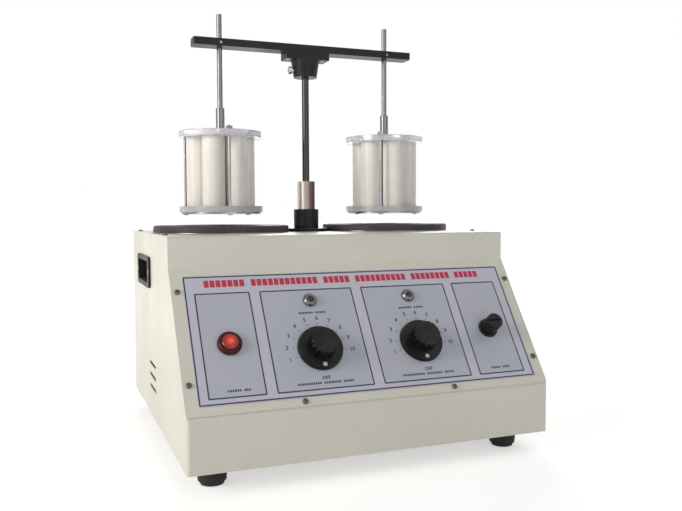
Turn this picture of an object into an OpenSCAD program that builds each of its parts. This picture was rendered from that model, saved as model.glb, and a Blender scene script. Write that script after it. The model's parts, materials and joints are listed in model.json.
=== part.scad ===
// Double-basket tablet disintegration tester. Millimetres, +Z up, front towards -Y.
// The origin is at floor level, in the middle of the space that the tester takes up.

/* [Cabinet] */
// Width of the cabinet, side to side
cab_w = 352; // [345:1:400]
// Depth of the cabinet, front lip to back wall
cab_d = 358; // [340:1:400]
// Height of the upright front lip under the sloping panel
lip_h = 48; // [40:1:70]
// Height that the sloping panel rises
slope_rise = 118; // [110:1:150]
// How far the slope leans back from the lip
slope_run = 83; // [60:1:100]
// Height of the upright band between slope and deck
band_h = 28; // [20:1:50]
// Thickness of the cabinet's steel sheet
sheet = 1.2; // [0.8:0.1:2]
// Outer radius of the sheet's bends
bend_r = 3; // [2.5:0.5:6]
// Width of the flanges that the top cover rests on
flange_w = 9; // [8:0.5:9.5]
// Width of the dark seam under the sloping panel
seam = 0.6; // [0.2:0.1:1.5]
// Length of each side vent slot
vent_len = 45; // [20:1:70]
// Height of each side vent slot
vent_h = 3.6; // [2:0.2:6]
// Distance between side vent slots
vent_pitch = 12.4; // [8:0.2:16]
// Height of the lowest vent slot above the cabinet's floor
vent_z = 32; // [20:1:50]
// Distance of the vent slots' middle from the back wall
vent_back = 162; // [110:1:190]

/* [Feet] */
// Height of the rubber feet
foot_h = 20; // [12:1:30]
// Diameter of a foot at the cabinet
foot_d = 28; // [24:1:36]
// Diameter of a foot at the floor
foot_base_d = 21; // [16:1:23]
// Distance of a foot's centre from the cabinet's side
foot_side = 28; // [24:1:60]
// Distance of a foot's centre from the lip or the back wall
foot_end = 36; // [24:1:60]

/* [Control panel] */
// Thickness of the printed panel sheet
overlay_t = 0.5; // [0.3:0.1:1]
// Border of bare slope beside the printed sheet
overlay_side = 11; // [10:0.5:14]
// Border of bare slope above the printed sheet
overlay_top = 10; // [8:0.5:14]
// Border of bare slope below the printed sheet
overlay_low = 8.5; // [8:0.5:14]
// Distance of the power button from the cabinet's left side
button_u = 45; // [35:1:60]
// Distance of the left knob from the cabinet's left side
knob_left_u = 127; // [115:1:140]
// Distance of the right knob from the cabinet's left side
knob_right_u = 229; // [215:1:240]
// Distance of the fuse from the cabinet's left side
fuse_u = 306; // [295:1:315]
// Distance of the knobs below the top of the slope
knob_v = 90.5; // [85:0.5:100]
// Distance of the heater lamps below the top of the slope
lamp_v = 41; // [36:1:44]
// Distance of the power button below the top of the slope
button_v = 80; // [60:1:95]
// Distance of the fuse below the top of the slope
fuse_v = 82; // [60:1:95]
// Diameter of a knob's skirt
knob_d = 43; // [36:1:50]
// Thickness of a knob's skirt
skirt_t = 4; // [3:0.5:6]
// Diameter of a knob's grip
grip_d = 26; // [20:1:32]
// Height of a knob above the panel
knob_h = 18; // [14:1:26]
// Number of flutes round a knob's grip
flutes = 16; // [8:1:20]
// Diameter of a knob's spindle
spindle_d = 6; // [5:0.5:8]
// Side of an energy regulator's square body
regulator_w = 38; // [32:1:44]
// Depth of an energy regulator's body
regulator_deep = 30; // [20:1:36]
// Diameter of the power button's bezel
button_d = 22; // [18:1:26]
// Diameter of the power button's lens
lens_d = 15; // [12:0.5:16]
// How far the power button is pressed in
button_travel = 3; // [1:0.5:4]
// Diameter of a heater lamp's bezel
lamp_d = 13; // [10:0.5:16]
// Diameter of the fuse holder's rim
fuse_rim_d = 20; // [19:0.5:24]
// Diameter of the fuse cap
fuse_cap_d = 16; // [14:0.5:18]
// Height of the fuse cap above the panel
fuse_cap_h = 18; // [12:1:24]

/* [Handles and inlet] */
// Length of a side handle's frame
handle_l = 94; // [80:1:120]
// Height of a side handle's frame
handle_h = 33; // [30:1:40]
// How far a handle's frame stands off the side
handle_proud = 2.5; // [1.5:0.5:5]
// Depth of a handle's finger pocket
pocket_deep = 22; // [16:1:30]
// Distance of the handles' middle from the back wall
handle_back = 112; // [90:1:130]
// Distance of the handles' middle below the deck
handle_drop = 41; // [40:1:60]
// How far the mains inlet's frame stands off the back wall
inlet_proud = 2.5; // [1.5:0.5:5]
// Distance of the mains inlet from the cabinet's left side
inlet_x = 56; // [36:1:86]
// Height of the mains inlet above the cabinet's bottom
inlet_z = 45; // [30:1:80]

/* [Hot plates] */
// Diameter of a hot plate
plate_d = 146; // [138:1:146]
// How far a hot plate stands above the deck
plate_proud = 8; // [5:0.5:12]
// Diameter of a hot plate's body below the deck
plate_core_d = 136; // [124:1:138]
// Depth of a hot plate's body below the deck
plate_deep = 16; // [12:1:20]
// Distance of each basket's rod from the middle
arm_reach = 97.5; // [92:0.5:102]
// Distance of the column and hot plates from the back wall
column_back = 147; // [140:1:180]
// Thickness of a hot plate's trim ring
ring_t = 1; // [0.6:0.1:1.5]

/* [Column and drive] */
// Diameter of the lifting rod
rod_d = 8; // [6:0.5:10]
// Outer diameter of the guide bush
bush_d = 20; // [16:1:22]
// Length of the guide bush that shows above its collar
bush_show = 31.5; // [15:0.5:45]
// Length of the guide bush below the deck
bush_below = 26; // [16:1:28]
// Diameter of the column's collar
collar_d = 28; // [25:1:32]
// Height of the column's collar with its flange
collar_h = 25; // [16:1:35]
// Diameter of the column's flange
column_flange_d = 48; // [44:1:48]
// Thickness of the column's flange
column_flange_t = 3.5; // [3:0.5:6]
// Vertical stroke of the baskets
stroke = 55; // [53:1:57]
// Thickness of the crank disc
crank_t = 8; // [5:1:10]
// Diameter of the crank pin's bush
crank_bush_d = 12; // [10:1:14]
// Thickness of the yoke
yoke_t = 10; // [8:1:12]
// Width of the yoke's frame round its slot
yoke_wall = 7; // [5:1:9]
// Thickness of the drive bracket
bracket_t = 4; // [3:0.5:6]
// Width of the drive bracket
bracket_w = 110; // [100:1:130]
// Diameter of the motor
motor_d = 60; // [50:1:66]
// Length of the motor
motor_l = 58; // [40:1:60]
// Depth of the gearbox
gearbox_t = 30; // [20:1:34]

/* [Arm] */
// Height of the arm bar's underside above the deck, baskets down
arm_above_deck = 199.5; // [190:0.5:230]
// Length of the arm bar
bar_l = 254; // [230:1:280]
// Depth of the arm bar, front to back
bar_w = 20; // [16:1:26]
// Thickness of the arm bar
bar_t = 8; // [6:0.5:12]
// Width of the clamp's top flange
clamp_w = 50; // [44:1:60]
// Thickness of the clamp's top flange
clamp_flange_t = 8; // [6:0.5:12]
// Diameter of the clamp's boss under its flange
boss_d = 32; // [26:1:36]
// Diameter of the clamp's boss at its lower end
boss_low_d = 26; // [20:1:30]
// Height of the clamp's boss
boss_h = 19; // [14:1:26]

/* [Baskets] */
// Diameter of a basket's plates
basket_d = 90; // [90:0.5:94]
// Height of a basket's underside above the deck, baskets down
basket_above_deck = 20; // [18:0.5:30]
// Thickness of a basket's plates
basket_plate_t = 6.5; // [5:0.5:8.5]
// Length of a basket's tubes
tube_l = 77.5; // [75:0.5:80]
// Outer diameter of a tube
tube_d = 24; // [23:0.25:24.5]
// Wall of a tube
tube_wall = 1.25; // [1:0.05:2]
// Diameter of the circle that the tubes stand on
tube_pcd = 50.6; // [50:0.1:51.5]
// How far the tubes sit in each plate
tube_seat = 2; // [1.5:0.5:3]
// Thickness of the wire cloth under a basket
mesh_t = 0.8; // [0.6:0.1:1]
// Distance between wires in the wire cloth
mesh_pitch = 5.8; // [5.4:0.1:8]
// Width of the wire cloth's wires
wire_w = 0.8; // [0.6:0.1:1]
// Thickness of the ring plate that holds the wire cloth
retainer_t = 1.2; // [0.8:0.1:2]
// Diameter of a basket's hanging rod
hanger_d = 6; // [5:0.5:7]
// Length of the hanging rod above the arm bar
hanger_above = 27; // [15:1:50]
// Diameter of the sleeve on a basket's hanging rod
hub_d = 9.5; // [9:0.5:14]
// Length of the sleeve on a basket's hanging rod
hub_l = 26; // [15:1:40]
// Diameter of a basket's tie bolts
tie_d = 3; // [2.5:0.5:3]
// Turn of the left basket about its rod
left_turn = 0; // [-60:1:60]
// Turn of the right basket about its rod
right_turn = -30; // [-60:1:60]

/* [Clearances] */
// Gap round a shaft that turns or slides
run_gap = 0.05; // [0.03:0.01:0.08]
// Gap round a piece that is fixed in its hole
fit_gap = 0.05; // [0.03:0.01:0.1]
// Gap round a piece that passes through a sheet
pass_gap = 0.4; // [0.3:0.1:0.6]
// Gap between faces that move past each other
face_gap = 0.6; // [0.4:0.1:1]

/* [Hidden] */
$fn = 64;

// Colours
cream = [0.90, 0.88, 0.81];
panel_grey = [0.66, 0.68, 0.71];
black_plastic = [0.07, 0.07, 0.08];
black_rubber = [0.05, 0.05, 0.05];
cast_iron = [0.16, 0.16, 0.17];
steel = [0.70, 0.70, 0.72];
bright_steel = [0.80, 0.81, 0.83];
zinc = [0.62, 0.63, 0.62];
brass = [0.72, 0.58, 0.30];
ceramic_white = [0.92, 0.90, 0.86];
clear_plastic = [0.86, 0.88, 0.88];
tube_white = [0.92, 0.89, 0.82];
red_lens = [0.90, 0.22, 0.10];
maroon = [0.28, 0.05, 0.06];
clear_lens = [0.80, 0.80, 0.78];
motor_grey = [0.42, 0.44, 0.46];

// Cabinet: levels and faces
floor_z = foot_h;
lip_z = floor_z + lip_h;
band_z = lip_z + slope_rise;
deck_z = band_z + band_h;
side_x = cab_w / 2;
front_y = -(cab_d + inlet_proud) / 2;
back_y = front_y + cab_d;
band_y = front_y + slope_run;
column_y = back_y - column_back;
tilt = atan(slope_run / slope_rise);
slope_l = norm([slope_run, slope_rise]);
inner_floor = floor_z + sheet;
under_deck = deck_z - sheet;

// Screws: shank, head and head height
screw_d = 4;
screw_head_d = 7.5;
screw_head_h = 2.2;
small_screw_d = 3;
small_head_d = 5.6;
cover_screw_d = 3;
cover_head_d = 5.2;
cover_head_h = 1.7;
cover_screw_l = 8;
screw_in = 5.5;
screw_up = overlay_low - cover_head_d / 2 - face_gap;

// Drive: the crank pin is at the bottom of its circle when the baskets are down. The slot is
// taller than the pin's bush by the most that an even turn and an even lift differ, in crank lengths.
crank_r = stroke / 2;
crank_disc_r = crank_r + crank_bush_d / 2 + 3;
slot_rise = 0.2105;
slot_play = slot_rise * crank_r;
slot_h = crank_bush_d + 2 * (slot_play + face_gap);
slot_l = stroke + crank_bush_d + 4 * face_gap;
yoke_h = slot_h + 2 * yoke_wall;
yoke_w = slot_l + 2 * yoke_wall;
bush_low_z = deck_z - bush_below;
crank_z = bush_low_z - face_gap - yoke_h / 2 - crank_r;
pin_z = crank_z - crank_r;
yoke_top_z = pin_z + yoke_h / 2;
disc_y = column_y + yoke_t / 2 + face_gap;
bracket_y = disc_y + crank_t + 6;
gearbox_y = bracket_y + bracket_t;
motor_y = gearbox_y + gearbox_t;
shaft_d = 10;
pin_d = 7;
gearbox_w = 66;
gearbox_h = 80;
gearbox_z = crank_z + (gearbox_w - gearbox_h) / 2;
bracket_top = bush_low_z - 2;
bracket_foot = 26;
bracket_screw_x = bracket_w * 0.36;
foot_screw_y = bracket_y + bracket_t + bracket_foot / 2;

// Column and arm
collar_top = deck_z + collar_h;
bush_top = collar_top + bush_show;
bush_l = bush_top - bush_low_z;
column_screw_r = (collar_d + column_flange_d) / 4;
bush_nut_w = bush_d + 7;
bush_nut_h = 7;
bar_z = deck_z + arm_above_deck;
bar_top = bar_z + bar_t;
boss_z = bar_z - clamp_flange_t - boss_h;
rod_floor = 1;
rod_low_z = yoke_top_z - yoke_wall + rod_floor;
arm_screw_x = (clamp_w + boss_d) / 4;
clamp_bolt_z = boss_z + 0.4 * boss_h;
clamp_bolt_d = 5;

// Baskets
tubes_each = 6;
ties_each = 3;
basket_z = deck_z + basket_above_deck;
mesh_z = basket_z + retainer_t;
lower_plate_z = mesh_z + mesh_t;
tube_z = lower_plate_z + basket_plate_t - tube_seat;
tube_id = tube_d - 2 * tube_wall;
upper_plate_z = tube_z + tube_l - tube_seat;
basket_top = upper_plate_z + basket_plate_t;
seat_lip_d = tube_id + 0.5;
hanger_top = bar_top + hanger_above;
hanger_floor = 1;
mesh_d = tube_pcd + tube_d + 1;
mesh_rim = 1;
mesh_gap = 0.3;
retainer_d = basket_d - 4;
tie_r = (mesh_d + retainer_d) / 4;
tie_head_d = tie_d + 2.5;
tie_head_h = 1;
tie_nut_w = 6.5;
tie_nut_h = 3;

// Heaters: a ring lies under each plate's overhang, flush with its edge and clear of its body,
// and a dish is turned in the middle of the plate's top
plate_top = deck_z + plate_proud;
plate_low = deck_z - plate_deep;
plate_edge = 1.5;
dish_r = 20;
dish_deep = 0.8;
deck_hole_d = plate_core_d + 2;
ring_w = 4.7;
ring_gap = 0.3;
ring_bore = max(plate_d - 2 * ring_w, plate_core_d + 2 * ring_gap);
ring_d = ring_bore + 2 * ring_w;
plate_gap = 0.5;
plate_x = (column_flange_d + ring_d) / 2 + plate_gap;
pan_d = plate_core_d - 8;
pan_t = 1;
strap_w = 16;
strap_t = 2.5;
strap_r = deck_hole_d / 2 + 4.5;
strap_low = plate_low - pan_t - strap_t;
stud_d = 8;
stud_in = 9;
stud_below = 8;
stud_nut_w = 13;
stud_nut_h = 6;
terminal_w = 30;
terminal_d = 14;
terminal_h = 16;
terminal_post_d = 5;
terminal_post_deep = 8;
terminal_in = pan_d / 4 + 8;
lead_hole_d = 12;

// Feet: a foot narrows at the floor, and a screw sits in its bore
foot_step = 3;
foot_taper = 3;
foot_bore = screw_head_d + 3;
foot_floor = foot_h * 0.4;

// Handles
handle_wall = 2;
handle_corner = 6;
handle_ends = 9;
handle_rims = 3;
pocket_l = handle_l - 2 * handle_ends;
pocket_h = handle_h - 2 * handle_rims;
pocket_corner = 5;
handle_screw_x = handle_l / 2 - 4.8;

// Mains inlet, in the size of the common three-pin kind
inlet_w = 31;
inlet_h = 24;
inlet_frame_w = 50;
inlet_frame_h = 28;
inlet_screw_x = 20;
inlet_deep = 24;
inlet_corner = 3;
socket_w = 24.5;
socket_h = 17;
socket_deep = 16.5;
socket_corner = 2.5;
pin_w = 2;
pin_h = 4;
pin_x = 7;
pin_y = 2;
pin_short = 3;

// Knobs, spindles and regulators; the panel is the cover with its printed sheet
panel_t = sheet + overlay_t;
panel_hole_d = 10;
nut_t = 3;
nut_w = 13;
nut_well_d = 17;
knob_roof = 4;
spindle_top = knob_h - knob_roof - 1;
spindle_in = 10;
pointer_d = 3;
pointer_r = (grip_d + knob_d) / 4;
pointer_deep = 0.4;
flute_d = 3;
flute_deep = 1;
flute_low = 1;
grip_edge = 0.6;

// Power button, heater lamps and fuse
button_hole_d = 18;
bezel_h = 5;
bezel_edge = 2;
button_neck_d = button_hole_d - pass_gap;
button_bore_d = lens_d + 4 * run_gap;
button_rise = 2.2;
button_deep = 3;
button_well = button_deep + button_travel + 3;
switch_w = 18;
switch_deep = 26;
lamp_hole_d = 8;
lamp_neck_d = lamp_hole_d - pass_gap;
lamp_lens_d = 6;
lamp_h = 4;
lamp_deep = 14;
lamp_rise = 1.2;
fuse_hole_d = 14;
fuse_neck_d = fuse_hole_d - pass_gap;
fuse_bore_d = 11;
fuse_rim_t = 3;
fuse_body_l = 34;
fuse_floor = 3;
fuse_plug_l = 6;
fuse_slot_w = 2;
fuse_slot_deep = 1.5;
fuse_cap_z = fuse_rim_t + face_gap;
fuse_edge = 0.8;
fuse_flutes = 12;
fuse_flute_d = 1.6;

// ---- helpers ----

// Outline points pushed inwards, edge by edge; edge i runs from point i to point i + 1
function edge_dir(p, i) = let (d = p[(i + 1) % len(p)] - p[i]) d / norm(d);
function edge_in(p, i) = let (d = edge_dir(p, i)) [-d[1], d[0]];
function meet(a, u, b, v) = let (k = u[0] * v[1] - u[1] * v[0])
    a + u * (((b[0] - a[0]) * v[1] - (b[1] - a[1]) * v[0]) / k);
function inset(p, by) = [
    for (i = [0 : len(p) - 1])
        let (j = (i + len(p) - 1) % len(p))
        meet(p[j] + edge_in(p, j) * by[j], edge_dir(p, j), p[i] + edge_in(p, i) * by[i], edge_dir(p, i))
];

// Outline points with each corner i turned into an arc of radius r[i]
function corner_arc(a, b, c, r, n = 6) =
    r == 0 ? [b] :
    let (u = (a - b) / norm(a - b), v = (c - b) / norm(c - b), half = acos(u * v) / 2,
         m = b + (u + v) / norm(u + v) * r / sin(half),
         p = b + u * r / tan(half) - m, q = b + v * r / tan(half) - m,
         a0 = atan2(p[1], p[0]), turn = (atan2(q[1], q[0]) - a0 + 540) % 360 - 180)
    [for (k = [0 : n]) m + r * [cos(a0 + turn * k / n), sin(a0 + turn * k / n)]];
function rounded(p, r) = [
    for (i = [0 : len(p) - 1])
        each corner_arc(p[(i + len(p) - 1) % len(p)], p[i], p[(i + 1) % len(p)], r[i])
];

// An outline in Y and Z, drawn across the width w about the middle
module across(w, outline) {
    rotate([90, 0, 90])
        translate([0, 0, -w / 2])
            linear_extrude(w) polygon(outline);
}

module round_rect(w, h, r) {
    square([w - 2 * r, h], center = true);
    square([w, h - 2 * r], center = true);
    for (x = [-1, 1], y = [-1, 1])
        translate([x * (w / 2 - r), y * (h / 2 - r)]) circle(r);
}

// Slot with round ends
module slot(l, h) {
    square([l - h, h], center = true);
    for (x = [-1, 1])
        translate([x * (l - h) / 2, 0]) circle(h / 2);
}

module ring(outer, inner, h) {
    difference() {
        cylinder(d = outer, h = h);
        translate([0, 0, -1]) cylinder(d = inner, h = h + 2);
    }
}

// A place on the sloping panel: u from the left side, v from the top of the slope, +Z outwards
module on_slope(u, v) {
    translate([u - side_x, band_y, band_z])
        rotate([90 - tilt, 0, 0])
            translate([0, -v, 0]) children();
}

// A place on a side wall: s is -1 for the left side and 1 for the right, +Z outwards
module on_side(s, y, z) {
    translate([s * side_x, y, z]) rotate([90, 0, s * 90]) children();
}

module on_back(x, z) {
    translate([x, back_y, z]) rotate([90, 0, 180]) children();
}

// Pan-head screw: its head sits on z = 0 and its shank runs down
module pan_screw(d, head_d, head_h, l) {
    difference() {
        union() {
            cylinder(d = head_d, h = head_h * 0.6);
            translate([0, 0, head_h * 0.6]) cylinder(d1 = head_d, d2 = head_d * 0.7, h = head_h * 0.4);
            translate([0, 0, -l]) cylinder(d = d, h = l);
        }
        for (a = [0, 90])
            rotate(a) translate([-head_d * 0.3, -0.4, head_h * 0.5]) cube([head_d * 0.6, 0.8, head_h]);
    }
}

// Countersunk screw: its top is flush with z = 0
module flush_screw(d, head_d, l) {
    difference() {
        union() {
            translate([0, 0, -head_d / 4]) cylinder(d1 = d, d2 = head_d - 0.2, h = head_d / 4);
            translate([0, 0, -l]) cylinder(d = d, h = l);
        }
        for (a = [0, 90])
            rotate(a) translate([-head_d * 0.3, -0.35, -1]) cube([head_d * 0.6, 0.7, 2]);
    }
}

module flush_hole(d, head_d, l) {
    translate([0, 0, -head_d / 4]) cylinder(d1 = d + 2 * fit_gap, d2 = head_d, h = head_d / 4);
    cylinder(d = head_d, h = 1);
    translate([0, 0, -l]) cylinder(d = d + 2 * fit_gap, h = l);
}

module hex_nut(across_flats, bore, h) {
    difference() {
        cylinder(d = across_flats / cos(30), h = h, $fn = 6);
        translate([0, 0, -1]) cylinder(d = bore, h = h + 2);
    }
}

// ---- cabinet ----

// Outside of the cabinet seen from its left: lip, slope, band, deck, back, floor
cab_outline = [
    [front_y, floor_z], [back_y, floor_z], [back_y, deck_z],
    [band_y, deck_z], [band_y, band_z], [front_y, lip_z]
];

// How far each edge of that outline is pushed in: floor, back, deck, band, slope, lip
function tray_in(floor, back, top, lip) = [floor, back, top, top, top, lip];

// Outside of the tray, which is also the inside of the cover
tray_outline = rounded(
    inset(cab_outline, tray_in(0, 0, sheet, 0)),
    [0, 0, 0, bend_r - sheet, bend_r + sheet, 0]
);

// Plan of the cabinet pushed in by the wall, with its upright corners rounded
module cabinet_plan(wall) {
    translate([0, (front_y + back_y) / 2, 0])
        linear_extrude(2 * deck_z) round_rect(cab_w - 2 * wall, cab_d - 2 * wall, bend_r - wall);
}

module cabinet_body() {
    color(cream) difference() {
        intersection() {
            across(cab_w, tray_outline);
            cabinet_plan(0);
        }
        intersection() {
            across(cab_w, inset(cab_outline, tray_in(sheet, sheet, 2 * sheet, sheet)));
            cabinet_plan(sheet);
        }
        across(cab_w - 2 * flange_w, inset(cab_outline, tray_in(lip_h / 2, flange_w, -1, flange_w)));
        cover_screw_places()
            translate([0, 0, -cover_screw_l]) cylinder(d = cover_screw_d + 2 * fit_gap, h = cover_screw_l);
        foot_places() translate([0, 0, -1]) cylinder(d = screw_d + 2 * fit_gap, h = sheet + 2);
        for (x = [-1, 1])
            translate([x * bracket_screw_x, foot_screw_y, floor_z - 1])
                cylinder(d = screw_d + 2 * fit_gap, h = sheet + 2);
        for (s = [-1, 1]) {
            handle_place(s) {
                translate([0, 0, -sheet - 1])
                    linear_extrude(sheet + 2)
                        round_rect(pocket_l + pass_gap, pocket_h + pass_gap, pocket_corner);
                for (x = [-1, 1])
                    translate([x * handle_screw_x, 0, -sheet - 1])
                        cylinder(d = small_screw_d + 2 * fit_gap, h = sheet + 2);
            }
            for (k = [0 : 2])
                on_side(s, back_y - vent_back, floor_z + vent_z + k * vent_pitch)
                    translate([0, 0, -sheet - 1]) linear_extrude(sheet + 2) slot(vent_len, vent_h);
        }
        inlet_place() {
            translate([0, 0, -sheet - 1])
                linear_extrude(sheet + 2) round_rect(inlet_w + pass_gap, inlet_h + pass_gap, inlet_corner);
            for (x = [-1, 1])
                translate([x * inlet_screw_x, 0, -sheet - 1])
                    cylinder(d = small_screw_d + 2 * fit_gap, h = sheet + 2);
        }
    }
}

// The cover is one folded sheet: deck, band and slope
module top_cover() {
    color(cream) difference() {
        intersection() {
            across(cab_w, rounded(cab_outline, [0, 0, 0, bend_r, bend_r, 0]));
            cabinet_plan(0);
        }
        across(cab_w + 2, tray_outline);
        translate([-cab_w, front_y - 1, floor_z - 1]) cube([2 * cab_w, cab_d + 2, lip_h + seam + 1]);
        cover_screw_places()
            translate([0, 0, -cover_screw_l]) cylinder(d = cover_screw_d + pass_gap, h = cover_screw_l + 1);
        for (s = [-1, 1])
            translate([s * plate_x, column_y, deck_z - 4 * sheet]) cylinder(d = deck_hole_d, h = 8 * sheet);
        translate([0, column_y, deck_z - 4 * sheet]) cylinder(d = bush_d + pass_gap, h = 8 * sheet);
        column_screw_places()
            translate([0, 0, -8 * sheet]) cylinder(d = screw_d + 2 * fit_gap, h = 10 * sheet);
        panel_holes();
    }
}

// Holes that the cover and the printed sheet share
module panel_holes() {
    for (u = [knob_left_u, knob_right_u]) {
        on_slope(u, knob_v) translate([0, 0, -5]) cylinder(d = panel_hole_d, h = 10);
        on_slope(u, lamp_v) translate([0, 0, -5]) cylinder(d = lamp_hole_d, h = 10);
    }
    on_slope(button_u, button_v) translate([0, 0, -5]) cylinder(d = button_hole_d, h = 10);
    on_slope(fuse_u, fuse_v) translate([0, 0, -5]) cylinder(d = fuse_hole_d, h = 10);
}

module panel_overlay() {
    color(panel_grey) difference() {
        on_slope(0, 0)
            translate([cab_w / 2, -(overlay_top + slope_l - overlay_low) / 2, 0])
                linear_extrude(overlay_t)
                    round_rect(cab_w - 2 * overlay_side, slope_l - overlay_top - overlay_low, 1.5);
        panel_holes();
    }
}

// Screws of the cover: down both sides of slope and deck, under the panel and along the back
module cover_screw_places() {
    for (u = [screw_in, cab_w - screw_in]) {
        for (v = [0.18, 0.8])
            on_slope(u, slope_l * v) children();
        for (y = [0.18, 0.88])
            translate([u - side_x, band_y + (back_y - band_y) * y, deck_z]) children();
    }
    for (u = [0.293, 0.71])
        on_slope(cab_w * u, slope_l - screw_up) children();
    for (x = [-0.3, 0.3])
        translate([x * cab_w, back_y - screw_in, deck_z]) children();
}

module cover_screws() {
    color(zinc) cover_screw_places() pan_screw(cover_screw_d, cover_head_d, cover_head_h, cover_screw_l);
}

// ---- feet and fittings ----

module foot_places() {
    for (x = [-1, 1], y = [front_y + foot_end, back_y - foot_end])
        translate([x * (side_x - foot_side), y, floor_z]) children();
}

module rubber_feet() {
    color(black_rubber) foot_places() difference() {
        union() {
            translate([0, 0, foot_step - foot_h])
                cylinder(d1 = foot_d - foot_taper, d2 = foot_d, h = foot_h - foot_step);
            translate([0, 0, -foot_h]) cylinder(d = foot_base_d, h = foot_step + 1);
        }
        translate([0, 0, -foot_h - 1]) cylinder(d = foot_bore, h = foot_h - foot_floor + 1);
        translate([0, 0, -foot_h]) cylinder(d = screw_d + 2 * fit_gap, h = foot_h + 1);
    }
}

// Screws of the feet, drive bracket, column, handles and inlet
module case_screws() {
    color(zinc) {
        foot_places()
            translate([0, 0, -foot_floor])
                rotate([180, 0, 0]) pan_screw(screw_d, screw_head_d, screw_head_h, foot_floor + sheet + 3);
        for (x = [-1, 1])
            translate([x * bracket_screw_x, foot_screw_y, floor_z])
                rotate([180, 0, 0]) pan_screw(screw_d, screw_head_d, screw_head_h, sheet + bracket_t + 3);
        column_screw_places()
            translate([0, 0, column_flange_t])
                flush_screw(screw_d, screw_head_d, column_flange_t + sheet + 3);
        for (s = [-1, 1], x = [-1, 1])
            handle_place(s) translate([x * handle_screw_x, 0, handle_proud])
                flush_screw(small_screw_d, small_head_d, handle_proud + sheet + 4);
        for (x = [-1, 1])
            inlet_place() translate([x * inlet_screw_x, 0, inlet_proud])
                flush_screw(small_screw_d, small_head_d, inlet_proud + sheet + 4);
    }
}

module handle_place(s) {
    on_side(s, back_y - handle_back, deck_z - handle_drop) children();
}

module side_handle(s) {
    color(black_plastic) handle_place(s) difference() {
        union() {
            linear_extrude(handle_proud) round_rect(handle_l, handle_h, handle_corner);
            translate([0, 0, -pocket_deep])
                linear_extrude(pocket_deep) round_rect(pocket_l, pocket_h, pocket_corner);
        }
        translate([0, 0, handle_wall - pocket_deep])
            linear_extrude(pocket_deep + handle_proud)
                round_rect(
                    pocket_l - 2 * handle_wall, pocket_h - 2 * handle_wall, pocket_corner - handle_wall
                );
        for (x = [-1, 1])
            translate([x * handle_screw_x, 0, handle_proud])
                flush_hole(small_screw_d, small_head_d, handle_proud + 1);
    }
}

module inlet_place() {
    on_back(inlet_x - side_x, floor_z + inlet_z) children();
}

// Mains inlet: frame, shrouded socket and three flat pins
module mains_inlet() {
    color(black_plastic) inlet_place() {
        difference() {
            union() {
                linear_extrude(inlet_proud) round_rect(inlet_frame_w, inlet_frame_h, inlet_corner);
                translate([0, 0, -inlet_deep])
                    linear_extrude(inlet_deep) round_rect(inlet_w, inlet_h, inlet_corner);
            }
            translate([0, 0, inlet_proud - socket_deep])
                linear_extrude(socket_deep + 1) round_rect(socket_w, socket_h, socket_corner);
            for (x = [-1, 1])
                translate([x * inlet_screw_x, 0, inlet_proud])
                    flush_hole(small_screw_d, small_head_d, inlet_proud + 1);
        }
        for (p = [[-pin_x, -pin_y], [pin_x, -pin_y], [0, pin_y]])
            translate([p[0] - pin_w / 2, p[1] - pin_h / 2, inlet_proud - socket_deep])
                cube([pin_w, pin_h, socket_deep - pin_short]);
    }
}

// ---- hot plates ----

module hot_plate(s) {
    color(cast_iron) translate([s * plate_x, column_y, 0]) difference() {
        rotate_extrude() polygon([
            [0, plate_low], [plate_core_d / 2, plate_low], [plate_core_d / 2, deck_z + ring_t],
            [plate_d / 2, deck_z + ring_t], [plate_d / 2, plate_top - plate_edge],
            [plate_d / 2 - plate_edge, plate_top],
            [dish_r, plate_top], [dish_r - 2 * dish_deep, plate_top - dish_deep], [0, plate_top - dish_deep]
        ]);
        translate([0, 0, plate_low - 1]) cylinder(d = stud_d + 2 * fit_gap, h = stud_in + 2);
    }
}

module plate_rings() {
    color(bright_steel) for (s = [-1, 1])
        translate([s * plate_x, column_y, deck_z]) ring(ring_d, ring_bore, ring_t);
}

module plate_pans() {
    color(zinc) for (s = [-1, 1])
        translate([s * plate_x, column_y, plate_low - pan_t]) difference() {
            cylinder(d = pan_d, h = pan_t);
            translate([0, 0, -1]) cylinder(d = stud_d + 1, h = pan_t + 2);
            translate([-s * terminal_in, 0, -1]) cylinder(d = lead_hole_d, h = pan_t + 2);
        }
}

// Each strap bridges under a hot plate and bears on the underside of the deck
module plate_straps() {
    color(zinc) for (s = [-1, 1])
        translate([s * plate_x - strap_w / 2, column_y, 0]) difference() {
            union() {
                translate([0, -strap_r - strap_t, strap_low])
                    cube([strap_w, 2 * (strap_r + strap_t), strap_t]);
                for (y = [-strap_r - strap_t, strap_r])
                    translate([0, y, strap_low]) cube([strap_w, strap_t, under_deck - strap_low]);
            }
            translate([strap_w / 2, 0, strap_low - 1]) cylinder(d = stud_d + 1, h = strap_t + 2);
        }
}

// A stud and its nut clamp each hot plate against its strap
module plate_nuts() {
    color(zinc) for (s = [-1, 1])
        translate([s * plate_x, column_y, 0]) {
            translate([0, 0, strap_low - stud_below])
                cylinder(d = stud_d, h = plate_low - strap_low + stud_below + stud_in);
            translate([0, 0, strap_low - stud_nut_h]) hex_nut(stud_nut_w, stud_d + 2 * fit_gap, stud_nut_h);
        }
}

// Ceramic blocks under the hot plates, each with two holes for its leads
module heater_terminals() {
    color(ceramic_white) for (s = [-1, 1])
        translate([s * (plate_x - terminal_in), column_y, plate_low - pan_t - terminal_h]) difference() {
            translate([-terminal_d / 2, -terminal_w / 2, 0]) cube([terminal_d, terminal_w, terminal_h]);
            for (y = [-1, 1])
                translate([0, y * terminal_w / 4, -1])
                    cylinder(d = terminal_post_d, h = terminal_post_deep + 1);
        }
}

// ---- control panel ----

// Height of the printed sheet's face, which the fittings stand on
module fitting(u, v) {
    on_slope(u, v) translate([0, 0, overlay_t]) children();
}

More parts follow.
